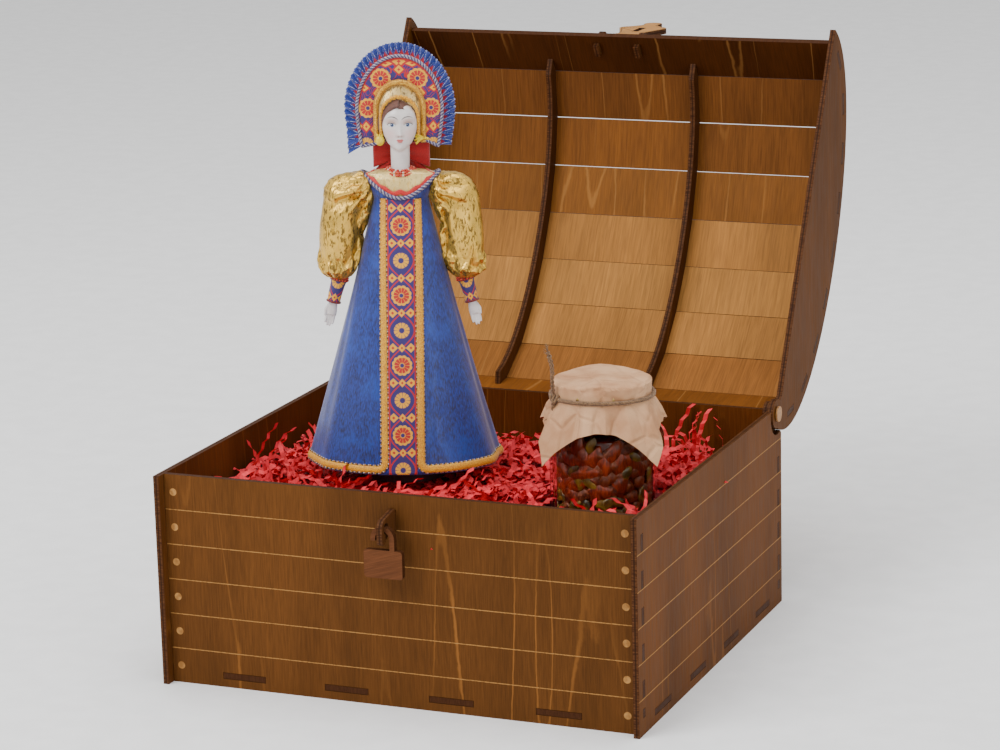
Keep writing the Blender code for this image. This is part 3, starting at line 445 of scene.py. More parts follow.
def twist(points, radius, pitch, phase):
    # one strand of a twisted cord that follows a line of points
    strand = []
    run = 0.0
    side = None
    for index, point in enumerate(points):
        ahead = points[min(index + 1, len(points) - 1)]
        behind = points[max(index - 1, 0)]
        way = (Vector(ahead) - Vector(behind)).normalized()
        if side is None:
            side = way.orthogonal().normalized()
        side = (side - way * side.dot(way)).normalized()
        other = way.cross(side)
        if index:
            run += (Vector(point) - Vector(points[index - 1])).length
        angle = 2 * math.pi * run / pitch + phase
        strand.append(Vector(point) + (side * math.cos(angle) + other * math.sin(angle)) * radius)
    return strand


def resample(points, step):
    result = [Vector(points[0])]
    left = step
    for start, end in zip(points, points[1:]):
        start, end = Vector(start), Vector(end)
        length = (end - start).length
        at = 0.0
        while length - at >= left:
            at += left
            result.append(start.lerp(end, at / length))
            left = step
        left -= length - at
    return result


def ringOf(middle, across, other, radius, count):
    # points round a circle that lies along two directions
    return [middle + (across * math.cos(a) + other * math.sin(a)) * radius
            for a in (2 * math.pi * n / count for n in range(count))]


def beads(points, radius, stretchBy=(1, 1, 1)):
    shape = bmesh.new()
    for point in points:
        made = bmesh.ops.create_icosphere(shape, subdivisions=1, radius=radius)
        bmesh.ops.scale(shape, vec=stretchBy, verts=made["verts"])
        bmesh.ops.translate(shape, vec=point, verts=made["verts"])
    return shape


def blockOf(shape, name="block"):
    # a working object in the scene from a bmesh or a mesh
    data = shape
    if isinstance(shape, bmesh.types.BMesh):
        data = bpy.data.meshes.new(name)
        shape.to_mesh(data)
        shape.free()
    block = bpy.data.objects.new(name, data)
    bpy.context.scene.collection.objects.link(block)
    return block


def settled(block):
    # the mesh that a working object's modifiers make; the object itself goes
    graph = bpy.context.evaluated_depsgraph_get()
    mesh = bpy.data.meshes.new_from_object(block.evaluated_get(graph))
    bpy.data.objects.remove(block)
    return mesh


def shapeOf(mesh):
    shape = bmesh.new()
    shape.from_mesh(mesh)
    bpy.data.meshes.remove(mesh)
    return shape


def fused(shape, size):
    # one closed skin round everything in a shape, as even squares of about this size
    block = blockOf(shape)
    remesh = block.modifiers.new("fuse", "REMESH")
    remesh.mode = "VOXEL"
    remesh.voxel_size = size
    return settled(block)


def smoothed(shape, rounds):
    for _ in range(rounds):
        bmesh.ops.smooth_vert(shape, verts=shape.verts, factor=0.5, use_axis_x=True,
                              use_axis_y=True, use_axis_z=True)
    return shape


def makePiece(name, shape, materials, body, place=None, stands=(), rounded=True):
    if place:
        bmesh.ops.transform(shape, matrix=place, verts=shape.verts)
    data = bpy.data.meshes.new(name)
    shape.to_mesh(data)
    shape.free()
    piece = bpy.data.objects.new(name, data)
    bpy.context.scene.collection.objects.link(piece)
    for material in materials if isinstance(materials, (list, tuple)) else [materials]:
        data.materials.append(material)
    if rounded:
        data.shade_smooth()
    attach(piece, body)
    if stands:
        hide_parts(*stands)
    return piece


def inMillimetres(rows):
    return [tuple(value * mm for value in row) for row in rows]


def tableAt(rows, height, column):
    # a value from a table of (height, value, ...) rows, eased between them
    for low, high in zip(rows, rows[1:]):
        if low[0] <= height <= high[0]:
            share = (height - low[0]) / (high[0] - low[0])
            share = share * share * (3 - 2 * share) * 0.4 + share * 0.6
            return low[column] + (high[column] - low[column]) * share
    return rows[0][column] if height < rows[0][0] else rows[-1][column]


def lerp(a, b, share):
    return a + (b - a) * share


# Where the doll stands: its own axes are x to the right, -y the way it faces, z from the hem

lay = next(joint for joint in frame["joints"] if joint["name"] == "doll_lay_down")
dollTurn = math.atan2(-lay["axis"][0], lay["axis"][1])
dollAcross = Vector((math.cos(dollTurn), math.sin(dollTurn), 0.0))
dollCentre = Vector(lay["pos_m"]) + dollAcross * 44 * mm
dollCentre.z = Vector(lay["pos_m"]).z - 48 * mm
dollLean = math.radians(0.85)
dollPlace = (Matrix.Translation(dollCentre) @ Matrix.Rotation(dollTurn, 4, "Z")
             @ Matrix.Rotation(dollLean, 4, "Y"))


def dollPiece(name, shape, materials, stands=()):
    return makePiece(name, shape, materials, "doll", dollPlace, stands)


def dollPoint(tree, scale=(1, 1, 1)):
    turn = dollPlace.inverted()
    point = stretch(tree, objectPoint(tree), (1, 1, 1), turn.translation, turn.to_euler())
    return point if scale == (1, 1, 1) else stretch(tree, point, scale)


yokeRows = inMillimetres([  # height, half width, half depth
    (150, 24, 17), (172, 18.4, 13.0), (183, 18.2, 12.9),
    (190, 21.5, 12.7), (196, 23.6, 11.4), (199.5, 24.6, 9.4),
    (201, 20.0, 8.2), (201.8, 13.0, 7.6), (202.2, 8.0, 7.2),
    (202.6, 6.0, 6.0),
])


dressSettings = {
    "hem": 66.0 * mm,
    "waist": 18.5 * mm,
    "waistHeight": 183.0 * mm,
    "flatness": 0.71,
    "neckline": 184.3 * mm,        # lowest point, at the front
    "necklineRise": 16.0 * mm,
    "ribbon": 19.0 * mm,
    "braid": 4.4 * mm,
    "braidFrom": 12.3 * mm,
}


def skirtWidth(z):
    s = dressSettings
    share = z / s["waistHeight"]
    if share > 1:
        return tableAt(yokeRows, z, 1) + 0.6 * mm
    return lerp(s["hem"], s["waist"], share) - 1.2 * mm * math.sin(math.pi * share)


def skirtSpot(angle, z, lift=0.0):
    # angle 0 is the front; soft folds deepen towards the hem and leave the front flat
    s = dressSettings
    radius = skirtWidth(z) + lift
    low = max(0.0, 1 - z / (150 * mm)) ** 1.3
    away = min(1.0, max(0.0, (abs(math.sin(angle / 2)) - 0.30) / 0.4))
    radius += 1.5 * mm * low * away * (math.sin(7 * angle + 1.0) + 0.5 * math.sin(12 * angle + z * 18))
    radius += 0.35 * mm * away * math.sin(19 * angle + 31 * z) * min(1.0, low * 4)
    deep = s["flatness"] * radius
    if z > s["waistHeight"]:
        deep = tableAt(yokeRows, z, 2) + 0.6 * mm + lift
    return Vector((radius * math.sin(angle), -deep * math.cos(angle), z))


def skirtAlong(a, z, lift=0.0):
    return skirtSpot(a / skirtWidth(z), z, lift)


def necklineAt(angle):
    # U-shaped at the front and a shallower one at the back
    s = dressSettings
    share = abs(math.sin(angle)) ** 2.15
    base = s["neckline"] if math.cos(angle) > 0 else s["neckline"] + 7 * mm
    return base + (s["neckline"] + s["necklineRise"] - base) * share


def blueBrocade():
    material = newMaterial("blueBrocade", roughness=0.42, sheen=0.35)
    tree = material.node_tree
    point = dollPoint(tree)
    slubs = noise(tree, stretch(tree, point, (1, 1, 0.035)), 1500.0, 2.0, 0.6)
    bands = noise(tree, stretch(tree, point, (1, 1, 0.12)), 260.0, 3.0, 0.6)
    patch = noise(tree, point, 34.0, 3.0, 0.6)
    weft = noise(tree, stretch(tree, point, (0.25, 0.25, 1)), 2600.0, 1.0)
    colour = blendColour(tree, fade(tree, slubs, 0.32, 0.68), srgb(6, 24, 90), srgb(20, 76, 178))
    colour = blendColour(tree, fade(tree, bands, 0.45, 0.80, 0.0, 0.55), colour, srgb(16, 48, 138))
    colour = blendColour(tree, fade(tree, patch, 0.48, 0.72, 0.0, 0.38), colour, srgb(24, 104, 210))
    height = calc(tree, "MULTIPLY_ADD", weft, 0.4, slubs)
    wire(material, colour=colour, normal=bumps(tree, height, 0.30, 0.0004),
         roughness=fade(tree, bands, 0.3, 0.7, 0.34, 0.52))
    return material


def goldBrocade(name, pale, metal, marks=1.0):
    material = newMaterial(name, roughness=0.3, metallic=metal)
    tree = material.node_tree
    point = dollPoint(tree)
    lean = stretch(tree, point, (1, 1, 0.30), turn=(0.0, math.radians(14), 0.0))
    dashes = noise(tree, lean, 900.0, 2.0, 0.55)
    gaps = noise(tree, lean, 340.0, 1.0, 0.5)
    gloss = noise(tree, point, 70.0, 3.0, 0.6)
    weave = noise(tree, point, 3200.0, 1.0)
    dark = times(tree, fade(tree, dashes, 0.505, 0.56), fade(tree, gaps, 0.42, 0.54))
    colour = blendColour(tree, fade(tree, gloss, 0.35, 0.65), pale, tuple(c * 1.18 for c in pale))
    colour = blendColour(tree, times(tree, dark, 0.82 * marks), colour, srgb(112, 84, 46))
    yellow = fade(tree, noise(tree, lean, 520.0, 2.0), 0.56, 0.66, 0.0, 0.55)
    colour = blendColour(tree, yellow, colour, srgb(238, 196, 84))
    height = calc(tree, "MULTIPLY_ADD", weave, 0.5, dashes)
    wire(material, colour=colour, normal=bumps(tree, height, 0.25, 0.0003),
         roughness=fade(tree, gloss, 0.3, 0.7, 0.22, 0.40))
    return material


def threadMaterial(name, light, dark, scale=1800.0, metal=0.0, rough=0.5, sheen=0.2):
    material = newMaterial(name, roughness=rough, metallic=metal, sheen=sheen)
    tree = material.node_tree
    point = objectPoint(tree)
    grain = noise(tree, point, scale, 2.0, 0.6)
    slow = noise(tree, point, scale / 12, 2.0, 0.5)
    colour = blendColour(tree, fade(tree, grain, 0.35, 0.65), dark, light)
    colour = blendColour(tree, fade(tree, slow, 0.45, 0.75, 0.0, 0.35), colour, dark)
    wire(material, colour=colour, normal=bumps(tree, grain, 0.6, 0.0004))
    return material


# Patterned cloth: rosettes and diamonds drawn in millimetres on the piece's own UV map

clothTones = {
    "ground": srgb(66, 48, 130),
    "red": srgb(206, 24, 34),
    "yellow": srgb(250, 190, 40),
    "deep": srgb(54, 36, 104),
}


def clothPoint(tree, width, length, fromU=0.5, fromV=0.0):
    uv = addNode(tree, "ShaderNodeUVMap", uv_map="cloth").outputs[0]
    parts = split(tree, uv)
    x = times(tree, minus(tree, parts[0], fromU), width)
    y = times(tree, minus(tree, parts[1], fromV), length)
    return x, y


def polarOf(tree, x, y):
    away = root(tree, plus(tree, times(tree, x, x),
                                   times(tree, y, y)))
    return away, calc(tree, "ARCTAN2", x, y)


def rosette(tree, colour, x, y, radius, petals, inner, swap=None):
    # scalloped yellow disc, red petals, a blue eye; swap exchanges the petal colours
    away, angle = polarOf(tree, x, y)
    lobes = unsigned(tree, calc(tree, "SINE", times(tree, angle, petals / 2)))
    rim = calc(tree, "MULTIPLY_ADD", lobes, radius * 0.10, radius * 0.90)
    disc = fade(tree, minus(tree, rim, away), -0.15, 0.15)
    yellow, red = clothTones["yellow"], clothTones["red"]
    outer, petal = yellow, red
    if swap is not None:
        outer = blendColour(tree, swap, yellow, clothTones["ground"])
        petal = blendColour(tree, swap, red, yellow)
    colour = blendColour(tree, disc, colour, outer)
    reach = fade(tree, away, radius * 0.80, radius * 0.70)
    hollow = fade(tree, away, radius * 0.22, radius * 0.32)
    blade = minus(tree, lobes, fade(tree, away, inner, radius * 0.8, 0.0, 0.20))
    blade = fade(tree, blade, 0.0, 0.18)
    petalShare = times(tree, times(tree, blade, reach), hollow)
    colour = blendColour(tree, petalShare, colour, petal)
    return blendColour(tree, fade(tree, away, radius * 0.24, radius * 0.16), colour,
                       clothTones["ground"])


def diamond(tree, colour, x, y, half, tall, tone, eye=None):
    span = plus(tree, over(tree, unsigned(tree, x), half),
                over(tree, unsigned(tree, y), tall))
    colour = blendColour(tree, fade(tree, span, 1.10, 0.90), colour, tone)
    if eye:
        colour = blendColour(tree, fade(tree, span, 0.40, 0.25), colour, eye)
    return colour


def ribbonCloth(name, width, length):
    material = newMaterial(name, roughness=0.62, sheen=0.25)
    tree = material.node_tree
    x, y = clothPoint(tree, width, length)
    y = plus(tree, y, 31.95)
    pitch = 23.3
    cell = minus(tree, calc(tree, "MODULO", plus(tree, y, pitch * 4), pitch),
                pitch / 2)
    turn = calc(tree, "MODULO", calc(tree, "FLOOR", over(tree, y, pitch)), 2.0)
    between = minus(tree, calc(tree, "MODULO", plus(tree, y, pitch * 4.5), pitch),
                   pitch / 2)
    side = unsigned(tree, x)
    ground = clothTones["ground"]
    # red lattice of two crossing waves
    wave = times(tree, unsigned(tree, calc(tree, "COSINE", times(
        tree, cell, math.pi / pitch))), 8.6)
    band = unsigned(tree, minus(tree, wave, side))
    colour = blendColour(tree, fade(tree, band, 0.75, 0.45), ground, clothTones["red"])
    colour = diamond(tree, colour, minus(tree, side, 6.0), between, 3.4, 3.2,
                     clothTones["yellow"], clothTones["red"])
    colour = diamond(tree, colour, x, between, 2.6, 2.9, clothTones["yellow"], clothTones["red"])
    colour = rosette(tree, colour, x, cell, 6.9, 12, 1.4, turn)
    edge = fade(tree, side, 8.2, 8.5)
    colour = blendColour(tree, edge, colour, clothTones["red"])
    weave = noise(tree, join(tree, times(tree, x, 3.0), y, 0.0), 3.0, 2.0)
    shade = fade(tree, weave, 0.3, 0.7, 0.82, 1.14)
    colour = blendColour(tree, 1.0, colour, join(tree, shade, shade, shade), "MULTIPLY")
    wire(material, colour=colour, normal=bumps(tree, weave, 0.35, 0.0003))
    return material


def makeDress():
    s = dressSettings
    blue = blueBrocade()

    def skirt(u, v):
        angle = (u - 0.5) * 2 * math.pi
        return skirtSpot(angle, v * necklineAt(angle))

    shape = thicken(formSheet(144, 72, skirt, closed=True), 0.7 * mm)
    dress = dollPiece("dress", shape, blue, ("doll_skirt",))
    hem = []
    for index in range(193):
        hem.append(skirtSpot(index / 192 * 2 * math.pi, 0.2 * mm, -0.2 * mm))
    ribbonTop = s["neckline"] - 1.0 * mm
    wide = s["ribbon"] / 2

    def ribbon(u, v):
        return skirtAlong(lerp(-wide, wide, u), lerp(0.4 * mm, ribbonTop, v), 0.75 * mm)

    shape = thicken(formSheet(16, 140, ribbon), 0.4 * mm)
    dollPiece("front_ribbon", shape, ribbonCloth("ribbonCloth", s["ribbon"] / mm, ribbonTop / mm))
    gold = threadMaterial("goldBraid", srgb(255, 206, 20), srgb(214, 140, 4), 1500.0, rough=0.5)
    silver = threadMaterial("silverPicot", srgb(250, 246, 240), srgb(170, 160, 170), 2500.0, 0.6, 0.3)
    darkThread = threadMaterial("darkPicot", srgb(60, 44, 60), srgb(24, 18, 34), 2500.0)
    goldBead = threadMaterial("goldPicot", srgb(246, 204, 96), srgb(176, 120, 30), 2500.0, 0.5, 0.3)
    half = s["braid"] / 2
    hemAt = 3.6 * mm
    corner = 5.0 * mm
    for name, sign in (("left", -1), ("right", 1)):
        line = []
        steps = 120
        for step in range(steps + 1):
            line.append((s["braidFrom"], lerp(s["neckline"] - 0.6 * mm, hemAt + corner, step / steps)))
        for step in range(1, 9):
            angle = math.pi / 2 * step / 8
            line.append((s["braidFrom"] + corner * (1 - math.cos(angle)),
                         hemAt + corner * (1 - math.sin(angle))))
        end = math.pi * skirtWidth(hemAt)
        for step in range(1, 131):
            line.append((lerp(s["braidFrom"] + corner, end, step / 130), hemAt))

        def braid(u, v, line=line, sign=sign):
            at = v * (len(line) - 1)
            index = min(int(at), len(line) - 2)
            a, b = line[index], line[index + 1]
            share = at - index
            before, after = line[max(index - 1, 0)], line[min(index + 2, len(line) - 1)]
            way = Vector((after[0] - before[0], after[1] - before[1])).normalized()
            side = Vector((-way.y, way.x)) * (u - 0.5) * 2 * half
            bulge = 1.25 * mm - 0.45 * mm * (2 * u - 1) ** 2 * 1.6
            return skirtAlong(sign * (lerp(a[0], b[0], share) + side.x),
                              lerp(a[1], b[1], share) + side.y, bulge)

        shape = thicken(formSheet(8, len(line) * 2, braid), 0.5 * mm)
        bmesh.ops.recalc_face_normals(shape, faces=shape.faces)
        dollPiece(name + "_braid", shape, gold)
        picots = {0: [], 1: [], 2: []}
        count = 0
        for edge in (-0.09, 1.09):
            dots = resample([braid(edge, step / 900) for step in range(901)], 1.15 * mm)
            for index, dot in enumerate(dots):
                jitter = Vector([chance.uniform(-0.12, 0.12) * mm for _ in range(3)])
                picots[(index + count) % 3].append(dot + jitter)
            count += 1
        for index, material in enumerate((silver, darkThread, goldBead)):
            dollPiece("%s_picots_%d" % (name, index), beads(picots[index], 0.66 * mm), material)


def yokeSpot(angle, z, lift=0.0):
    wide = tableAt(yokeRows, z, 1) + lift
    deep = tableAt(yokeRows, z, 2) + lift
    x, y = math.sin(angle), -math.cos(angle)
    return Vector((wide * x, deep * y, z))


def makeYoke():
    cream = goldBrocade("creamBrocade", srgb(240, 214, 150), 0.25, 0.45)

    def yoke(u, v):
        share = v ** 0.72
        return yokeSpot((u - 0.5) * 2 * math.pi, lerp(176 * mm, 202.6 * mm, share))

    shape = seal(formSheet(64, 26, yoke, closed=True))
    dollPiece("yoke", shape, cream, ("doll_bodice",))
    silver = threadMaterial("silverCord", srgb(230, 226, 230), srgb(130, 120, 150), 2600.0, 0.55, 0.3)
    violet = threadMaterial("violetCord", srgb(96, 84, 150), srgb(40, 32, 80), 2600.0)
    path = []
    for step in range(241):
        angle = (step / 240 - 0.5) * 2 * math.pi
        z = necklineAt(angle)
        path.append(yokeSpot(angle, min(z, 199.5 * mm), 1.5 * mm))
        path[-1].z = z + 0.2 * mm
    for name, material, phases in (("silver_neck_cord", silver, (0.0, math.pi)),
                                   ("violet_neck_cord", violet, (math.pi / 2, 1.5 * math.pi))):
        strands = [sweptCord(twist(path, 0.75 * mm, 5.6 * mm, phase), 0.72 * mm, 2)
                   for phase in phases]
        dollPiece(name, gather(*strands), material)
    red = threadMaterial("rickrack", srgb(236, 50, 30), srgb(196, 22, 16), 1600.0)
    # wavy red braid just inside the cord, front and back
    wave = []
    turns = 13
    for step in range(361):
        angle = (step / 360 - 0.5) * 2 * math.pi
        ripple = 0.95 * mm * math.sin(angle * turns + math.pi / 2)
        drop = abs(math.sin(angle)) ** 1.5
        z = necklineAt(angle) + (3.4 * mm + ripple) * (1 - 0.72 * drop)
        spot = yokeSpot(angle, min(z, 201 * mm), 0.9 * mm)
        spot.x *= 1 - 0.10 * drop
        wave.append(spot)

    def rickrack(u, v):
        at = v * (len(wave) - 1)
        index = min(int(at), len(wave) - 2)
        spot = wave[index].lerp(wave[index + 1], at - index)
        steep = min(1.0, abs(spot.x) / (21 * mm)) ** 3
        spot = spot + Vector((-math.copysign(steep, spot.x) * (u - 0.5) * 3.4 * mm,
                              (u - 0.5) * steep * 0.4 * mm, (u - 0.5) * 3.4 * mm * (1 - 0.8 * steep)))
        return spot

    shape = thicken(formSheet(3, 480, rickrack), 0.5 * mm)
    dollPiece("rickrack_trim", shape, red)
    coral = mottled("coralBeads", 900.0, 1.0, (0.4, 0.6), srgb(196, 40, 30), srgb(244, 120, 92),
                    roughness=0.25)
    pearl = mottled("paleBeads", 900.0, 1.0, (0.4, 0.6), srgb(250, 214, 190), srgb(255, 240, 226),
                    roughness=0.2)
    redSpots, paleSpots = [], []
    for ring, (radius, height, count) in enumerate(((7.4 * mm, 203.4 * mm, 30),
                                                    (8.8 * mm, 202.9 * mm, 36),
                                                    (10.2 * mm, 201.9 * mm, 42))):
        for index in range(count):
            angle = index / count * 2 * math.pi + ring * 0.4
            dip = 1.3 * mm * max(0.0, math.cos(angle)) * (1 + 0.5 * ring)
            spot = Vector((radius * math.sin(angle), -radius * math.cos(angle) - 0.4 * mm, height - dip))
            (paleSpots if (index + ring) % 4 == 0 else redSpots).append(spot)
    dollPiece("coral_beads", beads(redSpots, 1.05 * mm), coral)
    dollPiece("pale_beads", beads(paleSpots, 0.8 * mm), pearl)


makeDress()
makeYoke()
print("dress done")

# Head: glazed porcelain with a painted face

headSettings = {
    "top": 248.0 * mm,
    "chin": 215.2 * mm,
    "forward": -3.6 * mm,
    "eyeHeight": 233.9 * mm,
    "eyeGap": 5.5 * mm,
    "noseHeight": 227.3 * mm,
    "mouthHeight": 223.4 * mm,
}

headRows = inMillimetres([  # height, half width, half depth to the front, half depth to the back
    (215.2, 0.2, 6.0, 0.5), (216.0, 3.2, 8.0, 3.0),
    (218.5, 6.3, 9.0, 6.5), (221.5, 8.7, 9.6, 9.0),
    (226.0, 10.7, 9.8, 10.4), (231.0, 11.7, 10.0, 11.0),
    (236.0, 11.7, 10.0, 11.0), (241.0, 10.6, 9.6, 10.4),
    (245.0, 8.0, 7.8, 8.4), (247.4, 4.0, 4.2, 4.4),
    (248.0, 0.2, 0.2, 0.2),
])


def headSpot(angle, z, lift=0.0):
    wide = tableAt(headRows, z, 1) + lift
    deep = tableAt(headRows, z, 2 if math.cos(angle) > 0 else 3) + lift
    return Vector((wide * math.sin(angle), -deep * math.cos(angle) + headSettings["forward"], z))


def hump(x, z, middleX, middleZ, wide, tall):
    return math.exp(-((x - middleX) / wide) ** 2 - ((z - middleZ) / tall) ** 2)


def faceRelief(x, z):
    s = headSettings
    side = abs(x)
    low, high = s["noseHeight"], s["eyeHeight"]
    bridge = max(0.0, min(1.0, (high + 2.5 * mm - z) / (high + 2.5 * mm - low)))
    height = 0.0
    if low - 1.6 * mm < z < high + 3.0 * mm:
        below = 1.0 if z > low else max(0.0, 1 - (low - z) / (1.6 * mm))
        height += 2.3 * mm * bridge ** 1.4 * below * math.exp(-(x / (lerp(1.1, 1.7, bridge) * mm)) ** 2)
    height += 0.55 * mm * hump(side, z, 1.7 * mm, low - 0.3 * mm, 0.8 * mm, 0.9 * mm)
    height -= 0.75 * mm * hump(side, z, s["eyeGap"], high + 0.3 * mm, 3.0 * mm, 1.9 * mm)
    height += 0.42 * mm * hump(side, z, s["eyeGap"], high, 1.7 * mm, 1.1 * mm)
    height += 0.30 * mm * hump(side, z, 5.2 * mm, high + 4.6 * mm, 3.6 * mm, 1.0 * mm)
    height += 0.85 * mm * hump(x, z, 0, s["mouthHeight"] + 0.55 * mm, 2.3 * mm, 0.75 * mm)
    height += 0.80 * mm * hump(x, z, 0, s["mouthHeight"] - 0.75 * mm, 1.8 * mm, 0.75 * mm)
    height -= 0.25 * mm * hump(x, z, 0, s["mouthHeight"] - 2.3 * mm, 2.2 * mm, 0.7 * mm)
    height += 0.75 * mm * hump(x, z, 0, s["chin"] + 2.9 * mm, 2.6 * mm, 2.0 * mm)
    height += 0.35 * mm * hump(side, z, 6.4 * mm, s["noseHeight"] - 0.5 * mm, 3.2 * mm, 3.6 * mm)
    return height


def oval(tree, x, z, middle, radii, soft=0.12):
    # 1 inside an oval given in millimetres, falling to 0 over a soft rim
    dx = over(tree, minus(tree, x, middle[0]), radii[0])
    dz = over(tree, minus(tree, z, middle[1]), radii[1])
    away = root(tree, plus(tree, times(tree, dx, dx),
                                   times(tree, dz, dz)))
    return fade(tree, away, 1.0 + soft, 1.0 - soft)


def cover(tree, a, b):
    # what lies in a and not in b
    return times(tree, a, minus(tree, 1.0, b))


def paintedPorcelain():
    s = {name: value / mm for name, value in headSettings.items()}
    material = newMaterial("paintedPorcelain", roughness=0.30)
    tree = material.node_tree
    parts = split(tree, stretch(tree, dollPoint(tree), (1000, 1000, 1000)))
    x = minus(tree, parts[0], 0.5)
    side, z = unsigned(tree, x), parts[2]
    front = fade(tree, parts[1], -6.0, -8.5)
    eyeX, eyeZ, mouth = s["eyeGap"], s["eyeHeight"], s["mouthHeight"]
    mottle = noise(tree, parts[0].node.inputs[0].links[0].from_socket, 0.16, 2.0)
    skin = blendColour(tree, fade(tree, mottle, 0.3, 0.7), srgb(232, 224, 220), srgb(242, 234, 230))
    blush = oval(tree, side, z, (7.2, s["noseHeight"] + 0.3), (4.0, 3.6), 0.95)
    shade = oval(tree, side, z, (5.8, eyeZ + 2.3), (4.0, 2.0), 0.75)
    lidFold = cover(tree, oval(tree, side, z, (eyeX, eyeZ + 0.55), (3.1, 1.75), 0.10),
                    oval(tree, side, z, (eyeX, eyeZ + 0.30), (3.1, 1.70), 0.10))
    white = oval(tree, side, z, (eyeX, eyeZ), (2.55, 1.12), 0.10)
    iris = times(tree, oval(tree, side, z, (eyeX - 0.25, eyeZ + 0.10), (1.18, 1.18), 0.12),
                white)
    pupil = oval(tree, side, z, (eyeX - 0.25, eyeZ + 0.10), (0.55, 0.55), 0.2)
    glint = oval(tree, x, z, (eyeX - 0.6, eyeZ + 0.45), (0.22, 0.22), 0.4)
    glintLeft = oval(tree, x, z, (-eyeX - 0.1, eyeZ + 0.45), (0.22, 0.22), 0.4)
    lash = cover(tree, oval(tree, side, z, (eyeX + 0.15, eyeZ + 0.05), (2.95, 1.45), 0.08),
                 oval(tree, side, z, (eyeX, eyeZ - 0.35), (2.95, 1.42), 0.10))
    under = cover(tree, oval(tree, side, z, (eyeX, eyeZ), (2.65, 1.25), 0.08), white)
    brow = cover(tree, oval(tree, side, z, (5.2, eyeZ + 2.75), (4.1, 3.15), 0.07),
                 oval(tree, side, z, (5.5, eyeZ + 2.15), (4.5, 3.20), 0.09))
    brow = times(tree, brow, fade(tree, z, eyeZ + 3.0, eyeZ + 4.2))
    # painted shade round the nose: dark nostril dots and a soft darker patch beside the nose wings
    nostril = oval(tree, side, z, (0.95, s["noseHeight"] - 1.05), (0.55, 0.30), 0.5)
    noseWingShade = oval(tree, side, z, (1.5, s["noseHeight"] - 0.6), (1.5, 1.1), 0.8)
    bow = oval(tree, side, z, (0.95, mouth + 0.45), (1.35, 0.62), 0.2)
    lower = oval(tree, x, z, (0.0, mouth - 0.55), (1.85, 0.72), 0.2)
    parted = oval(tree, x, z, (0.0, mouth - 0.02), (2.25, 0.15), 0.5)
    colour = skin
    for mask, tone, strength in (
            (blush, srgb(240, 196, 190), 0.55), (shade, srgb(196, 154, 136), 0.62),
            (lidFold, srgb(130, 88, 74), 0.75), (white, srgb(226, 228, 230), 0.9),
            (iris, srgb(58, 98, 150), 1.0), (pupil, srgb(24, 28, 36), 1.0),
            (glint, srgb(250, 250, 250), 0.9), (glintLeft, srgb(250, 250, 250), 0.9),
            (under, srgb(130, 90, 80), 0.6), (lash, srgb(26, 18, 20), 1.0),
            (brow, srgb(70, 44, 38), 1.0), (noseWingShade, srgb(216, 190, 180), 0.40),
            (nostril, srgb(170, 116, 104), 0.75), (bow, srgb(218, 110, 106), 1.0),
            (lower, srgb(226, 130, 124), 1.0), (parted, srgb(170, 84, 80), 0.85)):
        share = times(tree, times(tree, mask, front), strength)
        colour = blendColour(tree, share, colour, tone)
    wire(material, colour=colour)
    material.node_tree.nodes["Principled BSDF"].inputs["Coat Weight"].default_value = 0.25
    material.node_tree.nodes["Principled BSDF"].inputs["Subsurface Weight"].default_value = 0.0
    return material


def plainPorcelain():
    return mottled("porcelain", 160.0, 2.0, (0.3, 0.7), srgb(230, 224, 222), srgb(242, 236, 234),
                   roughness=0.30)


def makeHead():
    s = headSettings

    def skull(u, v):
        share = (1 - math.cos(math.pi * v)) / 2
        return headSpot((u - 0.5) * 2 * math.pi, lerp(s["chin"], s["top"], share))

    def neck(u, v):
        angle = (u - 0.5) * 2 * math.pi
        z = lerp(201.5 * mm, 224 * mm, v)
        radius = (6.25 + 1.3 * max(0.0, 1 - v / 0.14) ** 2 + 0.5 * v) * mm
        back = lerp(0.4 * mm, -2.0 * mm, v)
        return Vector((radius * math.sin(angle), -radius * math.cos(angle) + back, z))

    shape = gather(seal(formSheet(96, 64, skull, closed=True)),
                   seal(formSheet(48, 20, neck, closed=True)))
    shape = smoothed(shapeOf(fused(shape, 0.34 * mm)), 14)
    for vert in shape.verts:
        if vert.co.y < s["forward"] - 1.0 * mm:
            ahead = min(1.0, (s["forward"] - vert.co.y) / (6 * mm))
            vert.co.y -= faceRelief(vert.co.x - 0.5 * mm, vert.co.z) * ahead
    dollPiece("head", shape, paintedPorcelain(), ("doll_head",))


def hairMaterial():
    material = newMaterial("brownHair", roughness=0.55, sheen=0.2)
    tree = material.node_tree
    parts = clothPoint(tree, 1.0, 1.0)
    strands = noise(tree, join(tree, times(tree, parts[0], 6.0),
                               times(tree, parts[1], 90.0), 0.0), 2.2, 3.0, 0.6)
    soft = noise(tree, objectPoint(tree), 240.0, 2.0)
    colour = blendColour(tree, fade(tree, strands, 0.3, 0.7), srgb(92, 54, 42), srgb(142, 92, 72))
    colour = blendColour(tree, fade(tree, soft, 0.45, 0.75, 0.0, 0.4), colour, srgb(84, 50, 40))
    wire(material, colour=colour, normal=bumps(tree, strands, 0.35, 0.0004))
    return material


